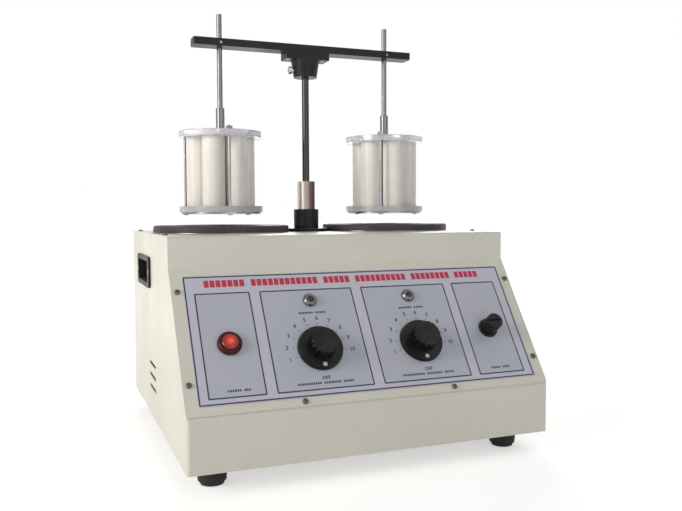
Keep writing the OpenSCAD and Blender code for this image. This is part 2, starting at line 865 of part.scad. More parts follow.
// Round grip with flutes that stop short of the skirt
module knob_grip() {
    difference() {
        union() {
            translate([0, 0, face_gap + 1]) cylinder(d = grip_d, h = knob_h - face_gap - 1 - grip_edge);
            translate([0, 0, knob_h - grip_edge])
                cylinder(d1 = grip_d, d2 = grip_d - 2 * grip_edge, h = grip_edge);
        }
        for (k = [0 : flutes - 1])
            rotate((k + 0.5) * 360 / flutes)
                translate([(grip_d + flute_d) / 2 - flute_deep, 0, face_gap + skirt_t + flute_low])
                    cylinder(d = flute_d, h = knob_h, $fn = 24);
    }
}

// Skirted knob with a fluted grip, and a dimple in its skirt for the pointer dot
module control_knob(u) {
    color(black_plastic) fitting(u, knob_v) difference() {
        union() {
            translate([0, 0, face_gap]) cylinder(d1 = knob_d, d2 = knob_d - 2, h = skirt_t);
            knob_grip();
        }
        translate([0, -pointer_r, face_gap + skirt_t - pointer_deep]) cylinder(d = pointer_d, h = 2);
        translate([0, 0, -1]) cylinder(d = spindle_d + 2 * fit_gap, h = knob_h - knob_roof + 1);
        translate([0, 0, -1]) cylinder(d = nut_well_d, h = nut_t + 2 * face_gap + 1);
    }
}

module spindle(u) {
    color(steel) fitting(u, knob_v)
        translate([0, 0, -panel_t - spindle_in])
            cylinder(d = spindle_d, h = spindle_top + panel_t + spindle_in);
}

// Energy regulator: square body behind the panel with a threaded neck through it
module regulator(u) {
    neck_l = panel_t + nut_t;
    color(brass) fitting(u, knob_v) translate([0, 0, -panel_t]) difference() {
        union() {
            translate([-regulator_w / 2, -regulator_w / 2, -regulator_deep])
                cube([regulator_w, regulator_w, regulator_deep]);
            cylinder(d = panel_hole_d - pass_gap, h = neck_l);
        }
        translate([0, 0, -spindle_in - face_gap])
            cylinder(d = spindle_d + 2 * run_gap, h = neck_l + spindle_in + 2 * face_gap);
    }
}

// Nuts of both regulators on the panel's face, and of the guide bush under the deck
module panel_nuts() {
    color(bright_steel) {
        for (u = [knob_left_u, knob_right_u])
            fitting(u, knob_v) hex_nut(nut_w, panel_hole_d - pass_gap + 2 * fit_gap, nut_t);
        translate([0, column_y, under_deck - bush_nut_h])
            hex_nut(bush_nut_w, bush_d + 2 * fit_gap, bush_nut_h);
    }
}

// Ring of the power button
module power_bezel() {
    color(maroon) fitting(button_u, button_v) difference() {
        union() {
            cylinder(d = button_d, h = bezel_h - bezel_edge);
            translate([0, 0, bezel_h - bezel_edge])
                cylinder(d1 = button_d, d2 = button_d - 1.5 * bezel_edge, h = bezel_edge);
        }
        translate([0, 0, -1]) cylinder(d = button_bore_d, h = bezel_h + 2);
    }
}

// Lens of the power button: a plunger with a domed end
module power_button() {
    dome_r = lens_d;
    color(red_lens) fitting(button_u, button_v) intersection() {
        translate([0, 0, -button_deep]) cylinder(d = lens_d, h = bezel_h + button_deep + button_rise + 1);
        translate([0, 0, bezel_h + button_rise - dome_r]) sphere(r = dome_r);
    }
}

// Switch body behind the panel, with the well that the lens sinks into
module power_switch() {
    color(black_plastic) fitting(button_u, button_v) difference() {
        translate([0, 0, -panel_t]) union() {
            translate([-switch_w / 2, -switch_w / 2, -switch_deep]) cube([switch_w, switch_w, switch_deep]);
            cylinder(d = button_neck_d, h = panel_t);
        }
        translate([0, 0, -button_well]) cylinder(d = button_bore_d, h = button_well + 1);
    }
}

// Polished bezels of the heater lamps, each with its body behind the panel
module heater_lamps() {
    color(bright_steel) for (u = [knob_left_u, knob_right_u])
        fitting(u, lamp_v) difference() {
            union() {
                cylinder(d = lamp_d, h = lamp_h / 2);
                translate([0, 0, lamp_h / 2]) cylinder(d1 = lamp_d, d2 = lamp_d - 3, h = lamp_h / 2);
                translate([0, 0, -panel_t - lamp_deep])
                    cylinder(d = lamp_neck_d, h = panel_t + lamp_deep + 1);
            }
            translate([0, 0, -2]) cylinder(d = lamp_lens_d + 2 * fit_gap, h = lamp_h + 4);
        }
}

module lamp_lenses() {
    color(clear_lens) for (u = [knob_left_u, knob_right_u])
        fitting(u, lamp_v) intersection() {
            translate([0, 0, -2]) cylinder(d = lamp_lens_d, h = lamp_h + 5);
            translate([0, 0, lamp_h + lamp_rise - lamp_lens_d * 0.7]) union() {
                sphere(d = lamp_lens_d * 1.4);
                translate([0, 0, -10]) cylinder(d = lamp_lens_d * 1.4, h = 10);
            }
        }
}

// Fuse holder: rim on the panel's face and long body behind it
module fuse_holder() {
    color(black_plastic) fitting(fuse_u, fuse_v) difference() {
        union() {
            cylinder(d1 = fuse_rim_d, d2 = fuse_rim_d - 1, h = fuse_rim_t);
            translate([0, 0, -fuse_body_l]) cylinder(d = fuse_neck_d, h = fuse_body_l + 1);
        }
        translate([0, 0, fuse_floor - fuse_body_l]) cylinder(d = fuse_bore_d, h = fuse_body_l + fuse_rim_t);
    }
}

// Cap of the fuse holder: a knurled head on a plug that turns in the body
module fuse_cap() {
    color(black_plastic) fitting(fuse_u, fuse_v) difference() {
        union() {
            translate([0, 0, fuse_cap_z]) cylinder(d = fuse_cap_d, h = fuse_cap_h - fuse_cap_z - fuse_edge);
            translate([0, 0, fuse_cap_h - fuse_edge])
                cylinder(d1 = fuse_cap_d, d2 = fuse_cap_d - 2 * fuse_edge, h = fuse_edge);
            translate([0, 0, -fuse_plug_l])
                cylinder(d = fuse_bore_d - 2 * run_gap, h = fuse_plug_l + fuse_cap_z + 1);
        }
        translate([-fuse_cap_d, -fuse_slot_w / 2, fuse_cap_h - fuse_slot_deep])
            cube([2 * fuse_cap_d, fuse_slot_w, 2 * fuse_slot_deep]);
        for (k = [0 : fuse_flutes - 1])
            rotate((k + 0.5) * 360 / fuse_flutes)
                translate([(fuse_cap_d + fuse_flute_d) / 2 - 0.5, 0, fuse_cap_z + 2])
                    cylinder(d = fuse_flute_d, h = fuse_cap_h - fuse_cap_z - fuse_slot_deep - 3, $fn = 24);
    }
}

// ---- column and drive ----

module column_screw_places() {
    for (a = [30, 150, 270])
        translate([column_screw_r * cos(a), column_y + column_screw_r * sin(a), deck_z]) children();
}

module column_base() {
    color(black_plastic) difference() {
        translate([0, column_y, deck_z]) ring(column_flange_d, bush_d + 2 * fit_gap, column_flange_t);
        column_screw_places()
            translate([0, 0, column_flange_t]) flush_hole(screw_d, screw_head_d, column_flange_t + 1);
    }
    color(black_plastic) translate([0, column_y, deck_z + column_flange_t])
        ring(collar_d, bush_d + 2 * fit_gap, collar_h - column_flange_t);
}

module guide_bush() {
    color(steel) translate([0, column_y, bush_low_z]) ring(bush_d, rod_d + 2 * run_gap, bush_l);
}

module lift_rod() {
    color(bright_steel) translate([0, column_y, rod_low_z]) cylinder(d = rod_d, h = bar_z - rod_low_z);
}

// Slotted yoke on the foot of the rod: the crank pin runs in its slot
module yoke() {
    color(steel) translate([0, column_y, pin_z]) difference() {
        rotate([90, 0, 0]) translate([0, 0, -yoke_t / 2]) linear_extrude(yoke_t) difference() {
            round_rect(yoke_w, yoke_h, 4);
            round_rect(slot_l, slot_h, 3);
        }
        translate([0, 0, yoke_h / 2 - yoke_wall + rod_floor])
            cylinder(d = rod_d + 2 * fit_gap, h = yoke_wall);
    }
}

module crank_disc() {
    color(steel) difference() {
        translate([0, disc_y, crank_z]) rotate([-90, 0, 0]) cylinder(r = crank_disc_r, h = crank_t);
        translate([0, disc_y - 1, crank_z]) rotate([-90, 0, 0])
            cylinder(d = shaft_d + 2 * fit_gap, h = crank_t + 2);
        translate([0, disc_y - 1, pin_z]) rotate([-90, 0, 0])
            cylinder(d = pin_d + 2 * fit_gap, h = crank_t + 2);
    }
}

// Crank pin with the bronze bush that rolls in the yoke
module crank_pin() {
    color(brass) translate([0, column_y - yoke_t / 2 - 1, pin_z]) rotate([-90, 0, 0]) {
        cylinder(d = pin_d, h = disc_y + crank_t - column_y + yoke_t / 2 + 1);
        translate([0, 0, 1]) ring(crank_bush_d, pin_d + 2 * fit_gap, yoke_t);
    }
}

module crank_shaft() {
    color(bright_steel) translate([0, disc_y, crank_z]) rotate([-90, 0, 0])
        cylinder(d = shaft_d, h = gearbox_y + gearbox_t / 2 - disc_y);
}

// Upright plate that carries the gearbox, with a foot flange on the cabinet's floor
module drive_bracket() {
    color(zinc) difference() {
        union() {
            translate([-bracket_w / 2, bracket_y, inner_floor])
                cube([bracket_w, bracket_t, bracket_top - inner_floor]);
            translate([-bracket_w / 2, bracket_y, inner_floor])
                cube([bracket_w, bracket_t + bracket_foot, bracket_t]);
        }
        translate([0, bracket_y - 1, crank_z]) rotate([-90, 0, 0])
            cylinder(d = shaft_d + 8, h = bracket_t + 2);
        for (x = [-1, 1])
            translate([x * bracket_screw_x, foot_screw_y, inner_floor - 1])
                cylinder(d = screw_d + 2 * fit_gap, h = bracket_t + 2);
    }
}

module gearbox() {
    color(motor_grey) difference() {
        translate([0, gearbox_y, gearbox_z]) rotate([90, 0, 0])
            translate([0, 0, -gearbox_t]) linear_extrude(gearbox_t) round_rect(gearbox_w, gearbox_h, 8);
        translate([0, gearbox_y - 1, crank_z]) rotate([-90, 0, 0])
            cylinder(d = shaft_d + 2 * run_gap, h = gearbox_t / 2 + 1 + face_gap);
    }
}

module motor() {
    color(motor_grey) translate([0, motor_y, gearbox_z]) rotate([-90, 0, 0]) {
        cylinder(d = motor_d, h = motor_l - 4);
        translate([0, 0, motor_l - 4]) cylinder(d1 = motor_d, d2 = motor_d - 10, h = 4);
    }
}

// ---- arm ----

module arm_clamp() {
    color(black_plastic) difference() {
        translate([0, column_y, 0]) union() {
            translate([-clamp_w / 2, -bar_w / 2 - 1, bar_z - clamp_flange_t])
                cube([clamp_w, bar_w + 2, clamp_flange_t]);
            translate([0, 0, boss_z]) cylinder(d1 = boss_low_d, d2 = boss_d, h = boss_h);
        }
        translate([0, column_y, boss_z - 1]) cylinder(d = rod_d + 2 * fit_gap, h = bar_z - boss_z + 2);
        for (x = [-1, 1])
            translate([x * arm_screw_x, column_y, bar_z - clamp_flange_t - 1])
                cylinder(d = screw_d + 2 * fit_gap, h = clamp_flange_t + 2);
        translate([-boss_d, column_y, clamp_bolt_z]) rotate([0, 90, 0])
            cylinder(d = clamp_bolt_d + 2 * fit_gap, h = boss_d);
    }
}

module arm_bar() {
    color(black_plastic) difference() {
        translate([0, column_y, bar_z]) linear_extrude(bar_t) round_rect(bar_l, bar_w, 2);
        for (s = [-1, 1]) {
            translate([s * arm_reach, column_y, bar_z - 1])
                cylinder(d = hanger_d + 2 * run_gap, h = bar_t + 2);
            translate([s * arm_reach, column_y - bar_w, bar_z + bar_t / 2]) rotate([-90, 0, 0])
                cylinder(d = small_screw_d + 2 * fit_gap, h = bar_w);
            translate([s * arm_screw_x, column_y, bar_top])
                flush_hole(screw_d, screw_head_d, bar_t + 1);
        }
    }
}

grub_l = bar_w / 2 - hanger_d / 2 - run_gap - 1.5;

// Screws of the arm: two down into the clamp, the clamp's bolt, and a grub screw for each hanging rod
module arm_screws() {
    color(zinc) {
        for (s = [-1, 1]) {
            translate([s * arm_screw_x, column_y, bar_top])
                flush_screw(screw_d, screw_head_d, bar_t + clamp_flange_t);
            translate([s * arm_reach, column_y - bar_w / 2 + 1, bar_z + bar_t / 2]) rotate([-90, 0, 0])
            difference() {
                cylinder(d = small_screw_d, h = grub_l);
                translate([0, 0, -1]) cylinder(d = 1.6, h = 2.5, $fn = 6);
            }
        }
        translate([-rod_d / 2 - fit_gap, column_y, clamp_bolt_z]) rotate([0, -90, 0]) {
            cylinder(d = clamp_bolt_d, h = boss_d / 2 - rod_d / 2);
            translate([0, 0, boss_d / 2 - rod_d / 2]) cylinder(d = 8.5, h = 3.5, $fn = 6);
        }
    }
}

// ---- baskets ----

module at_basket(s) {
    translate([s * arm_reach, column_y, 0]) rotate(s < 0 ? left_turn : right_turn) children();
}

// A gap between two tubes faces the front, and a tie bolt stands in every other gap
module tube_places() {
    for (k = [0 : tubes_each - 1])
        rotate((k + 0.5) * 360 / tubes_each - 90) translate([tube_pcd / 2, 0, 0]) children();
}

module tie_places() {
    for (k = [0 : ties_each - 1])
        rotate(k * 360 / ties_each - 90) translate([tie_r, 0, 0]) children();
}

module basket_rod(s) {
    color(bright_steel) at_basket(s)
        translate([0, 0, lower_plate_z + hanger_floor])
            cylinder(d = hanger_d, h = hanger_top - lower_plate_z - hanger_floor);
}

module basket_hub(s) {
    color(steel) at_basket(s)
        translate([0, 0, basket_top]) ring(hub_d, hanger_d + 2 * fit_gap, hub_l);
}

module upper_plate(s) {
    color(clear_plastic) at_basket(s) difference() {
        translate([0, 0, upper_plate_z]) cylinder(d = basket_d, h = basket_plate_t);
        tube_places() {
            translate([0, 0, upper_plate_z - 1]) cylinder(d = tube_d + 2 * fit_gap, h = tube_seat + 1);
            translate([0, 0, upper_plate_z]) cylinder(d = seat_lip_d, h = basket_plate_t + 1);
        }
        translate([0, 0, upper_plate_z - 1]) cylinder(d = hanger_d + 2 * fit_gap, h = basket_plate_t + 2);
        tie_places()
            translate([0, 0, upper_plate_z - 1]) cylinder(d = tie_d + 2 * fit_gap, h = basket_plate_t + 2);
    }
}

module lower_plate(s) {
    color(clear_plastic) at_basket(s) difference() {
        translate([0, 0, lower_plate_z]) cylinder(d = basket_d, h = basket_plate_t);
        tube_places() {
            translate([0, 0, tube_z]) cylinder(d = tube_d + 2 * fit_gap, h = basket_plate_t);
            translate([0, 0, lower_plate_z - 1]) cylinder(d = seat_lip_d, h = basket_plate_t + 1);
        }
        translate([0, 0, lower_plate_z + hanger_floor])
            cylinder(d = hanger_d + 2 * fit_gap, h = basket_plate_t);
        tie_places()
            translate([0, 0, lower_plate_z - 1]) cylinder(d = tie_d + 2 * fit_gap, h = basket_plate_t + 2);
    }
}

module tubes(s) {
    color(tube_white) at_basket(s)
        tube_places() translate([0, 0, tube_z]) ring(tube_d, tube_id, tube_l);
}

// Wire cloth: a square net inside a round rim
module wire_mesh(s) {
    half = floor((mesh_d / 2 - 2 * mesh_rim) / mesh_pitch + 0.5);
    color(steel) at_basket(s) translate([0, 0, mesh_z]) linear_extrude(mesh_t) {
        difference() {
            circle(d = mesh_d);
            circle(d = mesh_d - 2 * mesh_rim);
        }
        intersection() {
            circle(d = mesh_d - mesh_rim);
            for (k = [-half : half - 1]) {
                translate([(k + 0.5) * mesh_pitch - wire_w / 2, -mesh_d / 2]) square([wire_w, mesh_d]);
                translate([-mesh_d / 2, (k + 0.5) * mesh_pitch - wire_w / 2]) square([mesh_d, wire_w]);
            }
        }
    }
}

// Steel plate that holds the wire cloth up against the lower plate, with a hole under each tube
module mesh_retainer(s) {
    color(bright_steel) at_basket(s) difference() {
        union() {
            translate([0, 0, basket_z]) cylinder(d = retainer_d, h = retainer_t);
            translate([0, 0, mesh_z]) ring(retainer_d, mesh_d + 2 * mesh_gap, mesh_t);
        }
        tube_places() translate([0, 0, basket_z - 1]) cylinder(d = seat_lip_d, h = retainer_t + 2);
        tie_places()
            translate([0, 0, basket_z - 1]) cylinder(d = tie_d + 2 * fit_gap, h = retainer_t + mesh_t + 2);
    }
}

// Three bolts tie each basket together, with a low head below and a nut on top
module tie_bolts(s) {
    color(bright_steel) at_basket(s) tie_places() {
        translate([0, 0, basket_z]) cylinder(d = tie_d, h = basket_top - basket_z + tie_nut_h + 1);
        translate([0, 0, basket_z - tie_head_h]) cylinder(d = tie_head_d, h = tie_head_h);
        translate([0, 0, basket_top]) hex_nut(tie_nut_w, tie_d + 2 * fit_gap, tie_nut_h);
    }
}

cabinet_body();
top_cover();
panel_overlay();
cover_screws();
case_screws();
rubber_feet();
side_handle(-1);  // handle_left
side_handle(1);  // handle_right
mains_inlet();
hot_plate(-1);  // hot_plate_left
hot_plate(1);  // hot_plate_right
plate_rings();
plate_pans();
plate_straps();
plate_nuts();
heater_terminals();
control_knob(knob_left_u);  // control_knob_left
control_knob(knob_right_u);  // control_knob_right
spindle(knob_left_u);  // spindle_left
spindle(knob_right_u);  // spindle_right
regulator(knob_left_u);  // regulator_left
regulator(knob_right_u);  // regulator_right
panel_nuts();
power_bezel();
power_button();
power_switch();
heater_lamps();
lamp_lenses();
fuse_holder();
fuse_cap();
drive_bracket();
gearbox();
motor();
crank_shaft();
crank_disc();
crank_pin();
yoke();
lift_rod();
guide_bush();
column_base();
arm_clamp();
arm_bar();
arm_screws();
basket_rod(-1);  // basket_rod_left
basket_hub(-1);  // basket_hub_left
upper_plate(-1);  // upper_plate_left
lower_plate(-1);  // lower_plate_left
tubes(-1);  // tubes_left
wire_mesh(-1);  // wire_mesh_left
mesh_retainer(-1);  // mesh_retainer_left
tie_bolts(-1);  // tie_bolts_left
basket_rod(1);  // basket_rod_right
basket_hub(1);  // basket_hub_right
upper_plate(1);  // upper_plate_right
lower_plate(1);  // lower_plate_right
tubes(1);  // tubes_right
wire_mesh(1);  // wire_mesh_right
mesh_retainer(1);  // mesh_retainer_right
tie_bolts(1);  // tie_bolts_right
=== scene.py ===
import json
import math

import bpy
from mathutils import Matrix, Vector

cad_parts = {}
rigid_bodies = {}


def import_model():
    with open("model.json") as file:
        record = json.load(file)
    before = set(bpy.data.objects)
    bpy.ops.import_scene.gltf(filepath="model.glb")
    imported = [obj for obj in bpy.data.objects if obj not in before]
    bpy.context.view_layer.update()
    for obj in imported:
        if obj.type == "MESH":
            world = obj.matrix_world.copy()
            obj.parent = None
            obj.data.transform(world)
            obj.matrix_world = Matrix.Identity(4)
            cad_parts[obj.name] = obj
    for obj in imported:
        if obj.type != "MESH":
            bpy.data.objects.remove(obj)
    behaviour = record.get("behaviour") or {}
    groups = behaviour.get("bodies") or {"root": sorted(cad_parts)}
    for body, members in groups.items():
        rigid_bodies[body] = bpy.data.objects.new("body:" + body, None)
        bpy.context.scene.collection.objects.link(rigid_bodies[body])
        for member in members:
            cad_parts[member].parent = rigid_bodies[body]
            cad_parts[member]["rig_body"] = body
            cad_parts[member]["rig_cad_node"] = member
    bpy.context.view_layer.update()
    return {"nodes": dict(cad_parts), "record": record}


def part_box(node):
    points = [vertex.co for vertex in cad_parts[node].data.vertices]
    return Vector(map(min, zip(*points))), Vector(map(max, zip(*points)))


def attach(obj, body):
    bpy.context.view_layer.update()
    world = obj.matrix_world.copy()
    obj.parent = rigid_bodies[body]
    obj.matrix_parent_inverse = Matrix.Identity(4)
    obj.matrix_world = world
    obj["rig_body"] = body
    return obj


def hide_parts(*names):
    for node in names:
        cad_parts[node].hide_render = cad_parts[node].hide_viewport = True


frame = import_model()
mm = 0.001
print("frame loaded:", len(frame["nodes"]), "nodes")


# gaps that are closed in meshes, in metres, and the turn in degrees under which two faces count as one
weld = {"new": 1e-6, "cad": 2e-6, "array": 1e-5, "flat": 0.6}
softening = {"segments": 2, "angle": 32, "weight": 100}
pole = 0.01  # turned pieces close on a point of this radius, in mm
white = (1, 1, 1, 1)


def srgb(red, green, blue):
    # a colour picked in 0 to 255 becomes the linear colour that a shader takes
    picked = [c / 255 for c in (red, green, blue)]
    return tuple(c / 12.92 if c <= 0.04045 else ((c + 0.055) / 1.055) ** 2.4 for c in picked) + (1.0,)


def nothingSelected():
    if bpy.context.mode != "OBJECT":
        bpy.ops.object.mode_set(mode="OBJECT")
    bpy.ops.object.select_all(action="DESELECT")


def pick(*pieces):
    nothingSelected()
    for piece in pieces:
        piece.select_set(True)
    bpy.context.view_layer.objects.active = pieces[0]


def newest(name):
    piece = bpy.context.active_object
    piece.name = name
    piece.data.name = name
    return piece


def placed(piece, where=None, turn=None):
    # moves and turns a piece, and then puts its place into its mesh
    pick(piece)
    bpy.ops.object.transform_apply(location=True, rotation=True, scale=True)
    if where is not None or turn is not None:
        piece.location = where or (0, 0, 0)
        piece.rotation_euler = turn or (0, 0, 0)
        bpy.ops.object.transform_apply(location=True, rotation=True, scale=True)
    return piece


def addModifier(piece, kind, **values):
    pick(piece)
    modifier = piece.modifiers.new(kind.title(), kind)
    for key, value in values.items():
        setattr(modifier, key, value)
    bpy.ops.object.modifier_apply(modifier=modifier.name)


def smoothed(piece, degrees=38):
    pick(piece)
    bpy.ops.object.shade_smooth_by_angle(angle=math.radians(degrees))
    return piece


def joined(name, pieces):
    pick(*pieces)
    if len(pieces) > 1:
        bpy.ops.object.join()
    return newest(name)


def twin(piece, name):
    # a copy with its own mesh
    pick(piece)
    bpy.ops.object.duplicate(linked=False)
    return newest(name)


def dressed(piece, body, material):
    piece.data.materials.clear()
    piece.data.materials.append(material)
    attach(piece, body)


def editing(piece):
    # edit mode with everything selected
    pick(piece)
    bpy.ops.object.mode_set(mode="EDIT")
    bpy.ops.mesh.select_all(action="SELECT")


def closedUp(piece):
    # doubles merged, open ends filled and faces turned outwards
    editing(piece)
    bpy.ops.mesh.remove_doubles(threshold=weld["new"])
    bpy.ops.mesh.fill_holes(sides=0)
    bpy.ops.mesh.select_all(action="SELECT")
    bpy.ops.mesh.normals_make_consistent(inside=False)
    bpy.ops.object.mode_set(mode="OBJECT")
    return piece


def turned(name, stations, sides):
    # a turned piece on the Z axis: a circle is drawn out and resized through each (radius, height) in mm
    nothingSelected()
    radius, height = stations[0]
    bpy.ops.mesh.primitive_circle_add(vertices=sides, radius=radius * mm, location=(0, 0, height * mm))
    piece = newest(name)
    bpy.ops.object.mode_set(mode="EDIT")
    bpy.ops.mesh.select_all(action="SELECT")
    for nextRadius, nextHeight in stations[1:]:
        rise = (nextHeight - height) * mm
        bpy.ops.mesh.extrude_region_move(TRANSFORM_OT_translate={"value": (0, 0, rise)})
        grow = nextRadius / radius
        bpy.ops.transform.resize(value=(grow, grow, 1), center_override=(0, 0, 0))
        radius, height = nextRadius, nextHeight
    bpy.ops.object.mode_set(mode="OBJECT")
    placed(piece)
    return closedUp(piece)


def softened(cadNode, body, material, edge):
    # a merged copy of a CAD piece with its sharp edges rounded, which stands for it
    pick(frame["nodes"][cadNode])
    bpy.ops.object.duplicate(linked=False)
    piece = newest(cadNode + "_dressed")
    bpy.ops.object.parent_clear(type="CLEAR_KEEP_TRANSFORM")
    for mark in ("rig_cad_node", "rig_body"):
        if mark in piece:
            del piece[mark]
    editing(piece)
    bpy.ops.mesh.customdata_custom_splitnormals_clear()
    bpy.ops.mesh.remove_doubles(threshold=weld["cad"])
    bpy.ops.mesh.dissolve_limited(angle_limit=math.radians(weld["flat"]), use_dissolve_boundaries=False)
    bpy.ops.object.mode_set(mode="OBJECT")
    addModifier(piece, "BEVEL", width=edge * mm, segments=softening["segments"], limit_method="ANGLE",
                angle_limit=math.radians(softening["angle"]), use_clamp_overlap=True,
                miter_outer="MITER_ARC")
    addModifier(piece, "TRIANGULATE", min_vertices=5)
    smoothed(piece)
    addModifier(piece, "WEIGHTED_NORMAL", keep_sharp=True, weight=softening["weight"])
    dressed(piece, body, material)
    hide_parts(cadNode)


# the sloping panel, in mm: u runs from the cabinet's left side, v down from the top of the slope,
# and h out of the sheet
slope = {"rise": 118, "run": 83, "sheetSide": 11, "sheetTop": 10, "sheetThick": 0.5}
lean = math.atan2(slope["run"], slope["rise"])
downSlope = Vector((0, -math.sin(lean), -math.cos(lean)))
outwards = Vector((0, -math.cos(lean), math.sin(lean)))
panelTurn = (math.pi / 2 - lean, 0, 0)
sheetLow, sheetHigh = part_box("panel_overlay")
slopeTop = Vector((sheetLow.x - slope["sheetSide"] * mm, 0, 0))
slopeTop.z = sheetHigh.z - slope["sheetThick"] * mm * outwards.z - slope["sheetTop"] * mm * downSlope.z
slopeTop.y = sheetHigh.y - slope["sheetTop"] * mm * downSlope.y


def onPanel(u, v, h=0.0):
    above = outwards * (slope["sheetThick"] + h) * mm
    return slopeTop + Vector((u * mm, 0, 0)) + downSlope * v * mm + above


def middle(cadNode):
    low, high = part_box(cadNode)
    return (low + high) / 2


# shader groups shared by the finishes

def newGroup(name, inputs, outputs):
    tree = bpy.data.node_groups.new(name, "ShaderNodeTree")
    for label, kind, value in inputs:
        made = tree.interface.new_socket(label, in_out="INPUT", socket_type=kind)
        if value is not None:
            made.default_value = value
    for label in outputs:
        tree.interface.new_socket(label, in_out="OUTPUT", socket_type="NodeSocketFloat")
    return tree, tree.nodes.new("NodeGroupInput"), tree.nodes.new("NodeGroupOutput")


def node(tree, kind, **values):
    made = tree.nodes.new(kind)
    for key, value in values.items():
        if key in made.inputs:
            made.inputs[key].default_value = value
        else:
            setattr(made, key, value)
    return made


def sums(tree, operation, first, second=0.5, clamp=False):
    made = node(tree, "ShaderNodeMath", operation=operation, use_clamp=clamp)
    for socket, value in zip(made.inputs, (first, second)):
        if isinstance(value, (int, float)):
            socket.default_value = value
        else:
            tree.links.new(value, socket)
    return made.outputs[0]


def spread(tree, value, fromLow, fromHigh, toLow=0.0, toHigh=1.0):
    made = node(tree, "ShaderNodeMapRange")
    tree.links.new(value, made.inputs["Value"])
    ends = {"From Min": fromLow, "From Max": fromHigh, "To Min": toLow, "To Max": toHigh}
    for label, number in ends.items():
        made.inputs[label].default_value = number
    return made.outputs["Result"]


def noise(tree, vector, scale, detail=2.0, roughness=0.5):
    made = node(tree, "ShaderNodeTexNoise", Detail=detail, Roughness=roughness)
    tree.links.new(vector, made.inputs["Vector"])
    if isinstance(scale, (int, float)):
        made.inputs["Scale"].default_value = scale
    else:
        tree.links.new(scale, made.inputs["Scale"])
    return made.outputs["Fac"]


def vectors(tree, operation, first, second, output="Vector"):
    made = node(tree, "ShaderNodeVectorMath", operation=operation)
    for socket, value in zip(made.inputs, (first, second)):
        if isinstance(value, tuple):
            socket.default_value = value
        elif value is not None:
            tree.links.new(value, socket)
    return made.outputs[output]


vectorIn = ("Vector", "NodeSocketVector", None)

# the fine peel of a sprayed or moulded skin, and wide soft mottling
skin = {"grainDetail": 3.0, "mottles": 14.0, "mottleDetail": 4.0, "mottleFrom": 0.3, "mottleTo": 0.7}
skinGrain, groupIn, groupOut = newGroup(
    "skinGrain", [vectorIn, ("Grains per metre", "NodeSocketFloat", 900.0)], ["Height", "Mottle"])
grainHeight = noise(
    skinGrain, groupIn.outputs["Vector"], groupIn.outputs["Grains per metre"], skin["grainDetail"])
skinGrain.links.new(grainHeight, groupOut.inputs["Height"])
mottle = noise(skinGrain, groupIn.outputs["Vector"], skin["mottles"], skin["mottleDetail"])
skinGrain.links.new(
    spread(skinGrain, mottle, skin["mottleFrom"], skin["mottleTo"]), groupOut.inputs["Mottle"])

# fine streaks along the Z of the vector it is given
brush = {"draw": (1.0, 1.0, 0.02), "clouds": 60.0, "cloudDetail": 3.0}
brushLines, groupIn, groupOut = newGroup(
    "brushLines", [vectorIn, ("Lines per metre", "NodeSocketFloat", 2500.0)], ["Streak", "Cloud"])
drawnOut = vectors(brushLines, "MULTIPLY", groupIn.outputs["Vector"], brush["draw"])
brushLines.links.new(
    noise(brushLines, drawnOut, groupIn.outputs["Lines per metre"]), groupOut.inputs["Streak"])
brushLines.links.new(
    noise(brushLines, groupIn.outputs["Vector"], brush["clouds"], brush["cloudDetail"]),
    groupOut.inputs["Cloud"])

# rings left by a lathe round the Z of the vector it is given
lathe = {"flatten": (1.0, 1.0, 0.0), "wander": 90.0}
latheRings, groupIn, groupOut = newGroup(
    "latheRings", [vectorIn, ("Rings per metre", "NodeSocketFloat", 900.0)], ["Groove", "Radius"])
flat = vectors(latheRings, "MULTIPLY", groupIn.outputs["Vector"], lathe["flatten"])
reach = vectors(latheRings, "LENGTH", flat, None, "Value")
turns = sums(latheRings, "MULTIPLY", reach, groupIn.outputs["Rings per metre"])
turns = sums(latheRings, "ADD", turns, noise(latheRings, groupIn.outputs["Vector"], lathe["wander"]))
wave = sums(latheRings, "SINE", sums(latheRings, "MULTIPLY", turns, 2 * math.pi))
latheRings.links.new(spread(latheRings, wave, -1.0, 1.0), groupOut.inputs["Groove"])
latheRings.links.new(reach, groupOut.inputs["Radius"])

# dust lies in patches on what faces up
dust = {"patches": 45.0, "detail": 5.0, "roughness": 0.65, "from": 0.38, "to": 0.72, "steepest": 0.2}
dustFall, groupIn, groupOut = newGroup(
    "dustFall", [vectorIn, ("Amount", "NodeSocketFloat", 0.3)], ["Mask"])
faces = node(dustFall, "ShaderNodeSeparateXYZ")
dustFall.links.new(node(dustFall, "ShaderNodeNewGeometry").outputs["Normal"], faces.inputs[0])
patches = noise(dustFall, groupIn.outputs["Vector"], dust["patches"], dust["detail"], dust["roughness"])
patches = spread(dustFall, patches, dust["from"], dust["to"])
upward = spread(dustFall, faces.outputs["Z"], dust["steepest"], 1.0)
dustFall.links.new(
    sums(dustFall, "MULTIPLY", sums(dustFall, "MULTIPLY", patches, upward), groupIn.outputs["Amount"], True),
    groupOut.inputs["Mask"])

